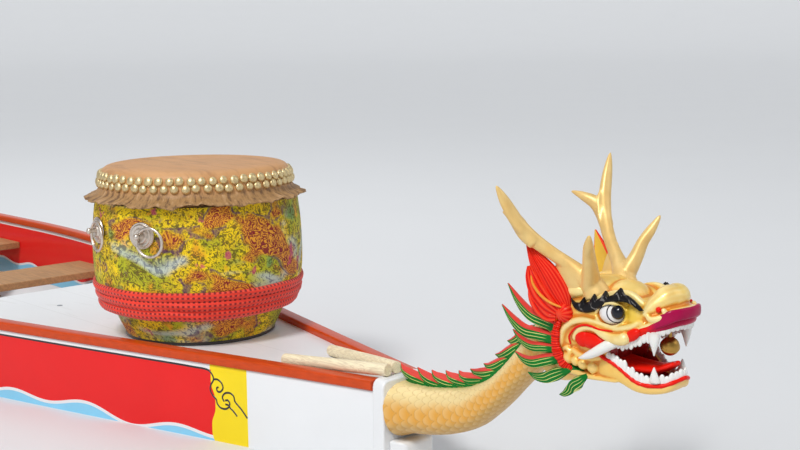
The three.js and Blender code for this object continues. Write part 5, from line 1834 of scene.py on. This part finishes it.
class EarsOperator(Operator):
    """Striped ears with rolled rims, and a ribbed knob at each root"""

    bl_idname = "boat.ears"
    bl_label = "Ears"

    def execute(self, context):
        for name, side in SIDES:
            shape = Shape()
            for flap in EAR_FLAPS:
                self.flap(shape, side, *flap)
            # the rolled rim: a real roll, tinted towards gold by `inner` as a painted highlight along its
            # edge
            rim = limb(at_bow(EAR_RIM, side), 50, 10, round_ends=0.05)
            shape.add(rim, hollow=0.4, inner=0.55)
            b = np.linspace(0.05, np.pi - 0.05, 30)[:, None]
            a = circle(72)
            rib = np.abs(np.sin(a * 6))
            wide = np.sin(b) * (1 + 0.055 * rib * np.sin(b))
            knob = stacked(np.cos(a) * wide, np.cos(b), np.sin(a) * wide)
            knob = knob * (0.016, 0.012 * side, 0.015) + at_bow([(464, 66, 381)], side)[0]
            # `hollow` between the knob's ribs gives painted shade there
            shape.add(knob, hollow=(1 - rib) * np.sin(b))
            place(f"striped_ear_{name}", shape, "ear_red", "red_paint", f"ear_{name}")
        return {"FINISHED"}

    def flap(self, shape, side, rows, grooves, curl):
        """A thin leaf through rows of x, y, z, half-thickness, half-width. With w across the
        leaf from -1 to 1 it bends inboard by w^2 and carries |sin| ridges along it."""
        line = spline(at_bow(rows, side), 60, ease=True)
        path, thick, half = line[:, :3], line[:, 3:4], line[:, 4:5]
        tangent = unit(np.gradient(path, axis=0))
        outboard = np.array([0.25, side * 1.0, -0.1])
        across = unit(np.cross(np.broadcast_to(outboard, path.shape), tangent)) * side
        out = unit(np.cross(tangent, across)) * side
        w, d = superellipse(96, 2.4)
        facing = np.sign((out[30] * outboard).sum())
        ridge = np.abs(np.sin(w * np.pi * grooves / 2))
        lift = d * thick + 0.0013 * ridge * (d * facing > 0.2) * facing
        lift = lift - facing * (0.22 - curl) * half * w**2
        grid = swept(path, across, out, w * half, lift)
        inner = ((d * facing < -0.3) & (np.abs(w) < 0.78)) * 1.0 + 0 * half
        # `hollow` makes painted shade between the ridges of the outer face and a painted highlight on
        # them
        shape.add(grid, hollow=(1 - ridge) * (d * facing > 0) + 0 * half, inner=inner)


MANE_LEAVES = [  # root x, z, bend x, z, tip x, z, half-height
    (446, 352, 398, 370, 355, 415, 10), (440, 334, 385, 342, 342, 378, 10.5),
    (440, 318, 400, 318, 366, 340, 8), (448, 304, 405, 292, 371, 304, 10),
    (474, 290, 430, 270, 394, 272, 10), (506, 286, 480, 262, 460, 248, 9),
]
MANE_STEM = [  # x, y, z, half-width, half-height
    (452, 56, 368, 5, 6), (444, 58, 345, 6, 8), (445, 58, 318, 6, 8), (459, 56, 298, 6, 7),
    (480, 53, 289, 5, 6), (506, 50, 284, 4, 4),
]
FRILL = [  # x, y, z, half-thickness, half-width
    (456, 63, 372, 3, 4), (452, 67, 360, 4, 6), (450, 69, 345, 4, 7), (450, 69, 328, 4, 8),
    (454, 67, 312, 4, 9), (462, 63, 298, 4, 8), (474, 58, 289, 3, 5),
]


class ManeOperator(Operator):
    """Green leaves behind the cheeks, and the pleated frill in front of them"""

    bl_idname = "boat.mane"
    bl_label = "Mane"

    def execute(self, context):
        for name, side in SIDES:
            shape = Shape()
            for n, (x0, z0, x1, z1, x2, z2, half) in enumerate(MANE_LEAVES):
                # the two lowest leaves lie under the jaw: thin at the root, and green all over
                out, root, share, tint = (74, 6, 0.9, 1.0) if n < 4 else (68, 3, 0.35, 0.0)
                rows = [
                    (x0, 58, z0, root, half * share), ((x0 + x1) / 2, 65, (z0 + z1) / 2, 7, half),
                    (x1, out - 4, z1, 7, half * 0.95),
                    ((x1 + x2) / 2, out, (z1 + z2) / 2 - 3, 6, half * 0.6),
                    (x2, out + 2, z2, 1.2, 0.8),
                ]
                blade(shape, at_bow(rows, side), UP, 40, power=GABLE, eave=0.75, tint=tint)
            stem = limb(at_bow(MANE_STEM, side), 40, 16, up=TO_PORT, round_ends=0.06)
            shape.add(stem, across=0.5, along=0.0)
            place(f"mane_leaves_{name}", shape, "leaf_green", "green_paint", f"mane_{name}", sharp=45)
            self.frill(name, side)
        return {"FINISHED"}

    def frill(self, name, side):
        """A pleated band: half-width and thickness swing with uneven pleats along it."""
        line = spline(at_bow(FRILL, side), 240)
        s = np.linspace(0, 1, 240)
        pleat = np.abs(((s * 26 + 0.9 * ripple(s, 7)) % 1.0) - 0.5) * 2
        half = line[:, 4] * (0.92 + 0.16 * pleat + 0.24 * ripple(s * 2, 5))
        thick = line[:, 3] * (0.85 + 0.3 * pleat)
        grid = tube(line[:, :3], half, thick, (0, side, 0), 20, 2.6)
        # `hollow` makes painted shade in the pleats' troughs and a painted highlight on their crests
        shape = Shape().add(grid, hollow=(1 - pleat)[:, None])
        place(f"frill_{name}", shape, "ear_red", "red_paint")


# ---- steering oar


OAR_PIVOT, OAR_TILT = (-2.7, 0.304, 0.312), math.radians(-20)
OAR_ROWS = [  # distance behind the pivot, half-width, half-height, in metres
    (-0.826, 0.0135, 0.0135), (-0.76, 0.0145, 0.0145), (-0.69, 0.017, 0.017), (-0.2, 0.019, 0.019),
    (0.3, 0.019, 0.019), (0.9, 0.018, 0.0195), (0.985, 0.015, 0.026), (1.06, 0.01, 0.052),
    (1.13, 0.0085, 0.075), (1.22, 0.0072, 0.088), (1.38, 0.0062, 0.0915), (1.5, 0.0055, 0.092),
    (1.54, 0.0045, 0.086),
]


class SteeringOperator(Operator):
    """The arm on the port quarter, the yoke and the long steering oar"""

    bl_idname = "boat.steering"
    bl_label = "Steering oar"

    def execute(self, context):
        eased("oarlock_base", "fitting_steel", "steel", 0.0016, 2)
        eased("oarlock_yoke", "fitting_steel", "steel", 0.001, 2, "yoke")
        self.oar()
        return {"FINISHED"}

    def oar(self):
        """Shaft and blade: an ellipse whose half-width and half-height change along the oar."""
        back, wide, high = spline(OAR_ROWS, 160).T
        t = np.linspace(0, 1, len(back))
        near = np.clip(np.minimum(t, 1 - t) / 0.008, 0, 1)
        end = np.sqrt(np.clip(1 - (1 - near) ** 2, 0.01, 1))
        shaft = self.tilted(tube(stacked(-back, 0, 0), wide * end, high * end, sides=40, power=2.1))
        place(
            "oar_of_wood", Shape().add(shaft), "timber_planks", "timber", "steering_oar", body="oar",
            sharp=50,
        )
        grip = self.bar((0.76, 0, 0), (0.065, 0, 0), 0.0163, 0.0008, 8, 32)
        place("oar_grip", Shape().add(grip), "line_paint", "black_paint", body="oar", sharp=50)
        collar = self.bar((0, 0, 0), (0.03, 0, 0), 0.0232, 0.0015, 8, 40)
        pin = self.bar((0, 0, 0), (0, 0.038, 0), 0.008, 0.0006, 10, 28)
        place("oar_collar", Shape().add(collar).add(pin), "fitting_steel", "steel", body="oar", sharp=50)

    def bar(self, middle, half, radius, fall, power, sides):
        """A round bar from middle - half to middle + half: radius - fall t^power at t."""
        t = np.linspace(-1, 1, 30)
        radius = radius - fall * t**power
        return self.tilted(tube(middle + t[:, None] * half, radius, radius, sides=sides))

    def tilted(self, grid):
        return rotated(grid, "Y", OAR_TILT) + OAR_PIVOT


# ---- the add-on


class BOAT_PT_panel(Panel):
    """Lists the boat's sizes, colours and makers"""

    bl_idname = "BOAT_PT_panel"
    bl_label = "Dragon boat"
    bl_space_type = "VIEW_3D"
    bl_region_type = "UI"
    bl_category = "Boat"

    def draw(self, context):
        layout = self.layout
        for title, settings in GROUPS.items():
            box = layout.box()
            box.label(text=title.replace("_", " ").capitalize())
            for field in settings.__annotations__:
                box.prop(getattr(context.scene, title), field)
        for maker in MAKERS:
            layout.operator(maker.bl_idname)


GROUPS = {
    "boat_colours": BoatColours,
    "hull_sizes": HullSizes,
    "drum_sizes": DrumSizes,
    "dragon_sizes": DragonSizes,
    "boat_stage": StageSettings,
}
MAKERS = (
    StageOperator, HullOperator, RailsOperator, DecksOperator, InsideOperator, DrumBodyOperator,
    DrumSkinOperator, DrumRingsOperator, DrumsticksOperator, NeckAndTailOperator, HeadOperator,
    FaceOperator, TeethOperator, AntlersOperator, EarsOperator, ManeOperator, SteeringOperator,
)
PAINTS = {}


def register():
    for made in (*GROUPS.values(), *MAKERS, BOAT_PT_panel):
        bpy.utils.register_class(made)
    for name, settings in GROUPS.items():
        setattr(Scene, name, PointerProperty(type=settings))


def unregister():
    for name in GROUPS:
        delattr(Scene, name)
    for made in (BOAT_PT_panel, *reversed(MAKERS), *reversed(GROUPS.values())):
        bpy.utils.unregister_class(made)


def main():
    register()
    PAINTS.update(paints(bpy.context.scene.boat_colours))
    for maker in MAKERS:
        getattr(bpy.ops.boat, maker.bl_idname.split(".")[1])()


if __name__ == "__main__":
    main()
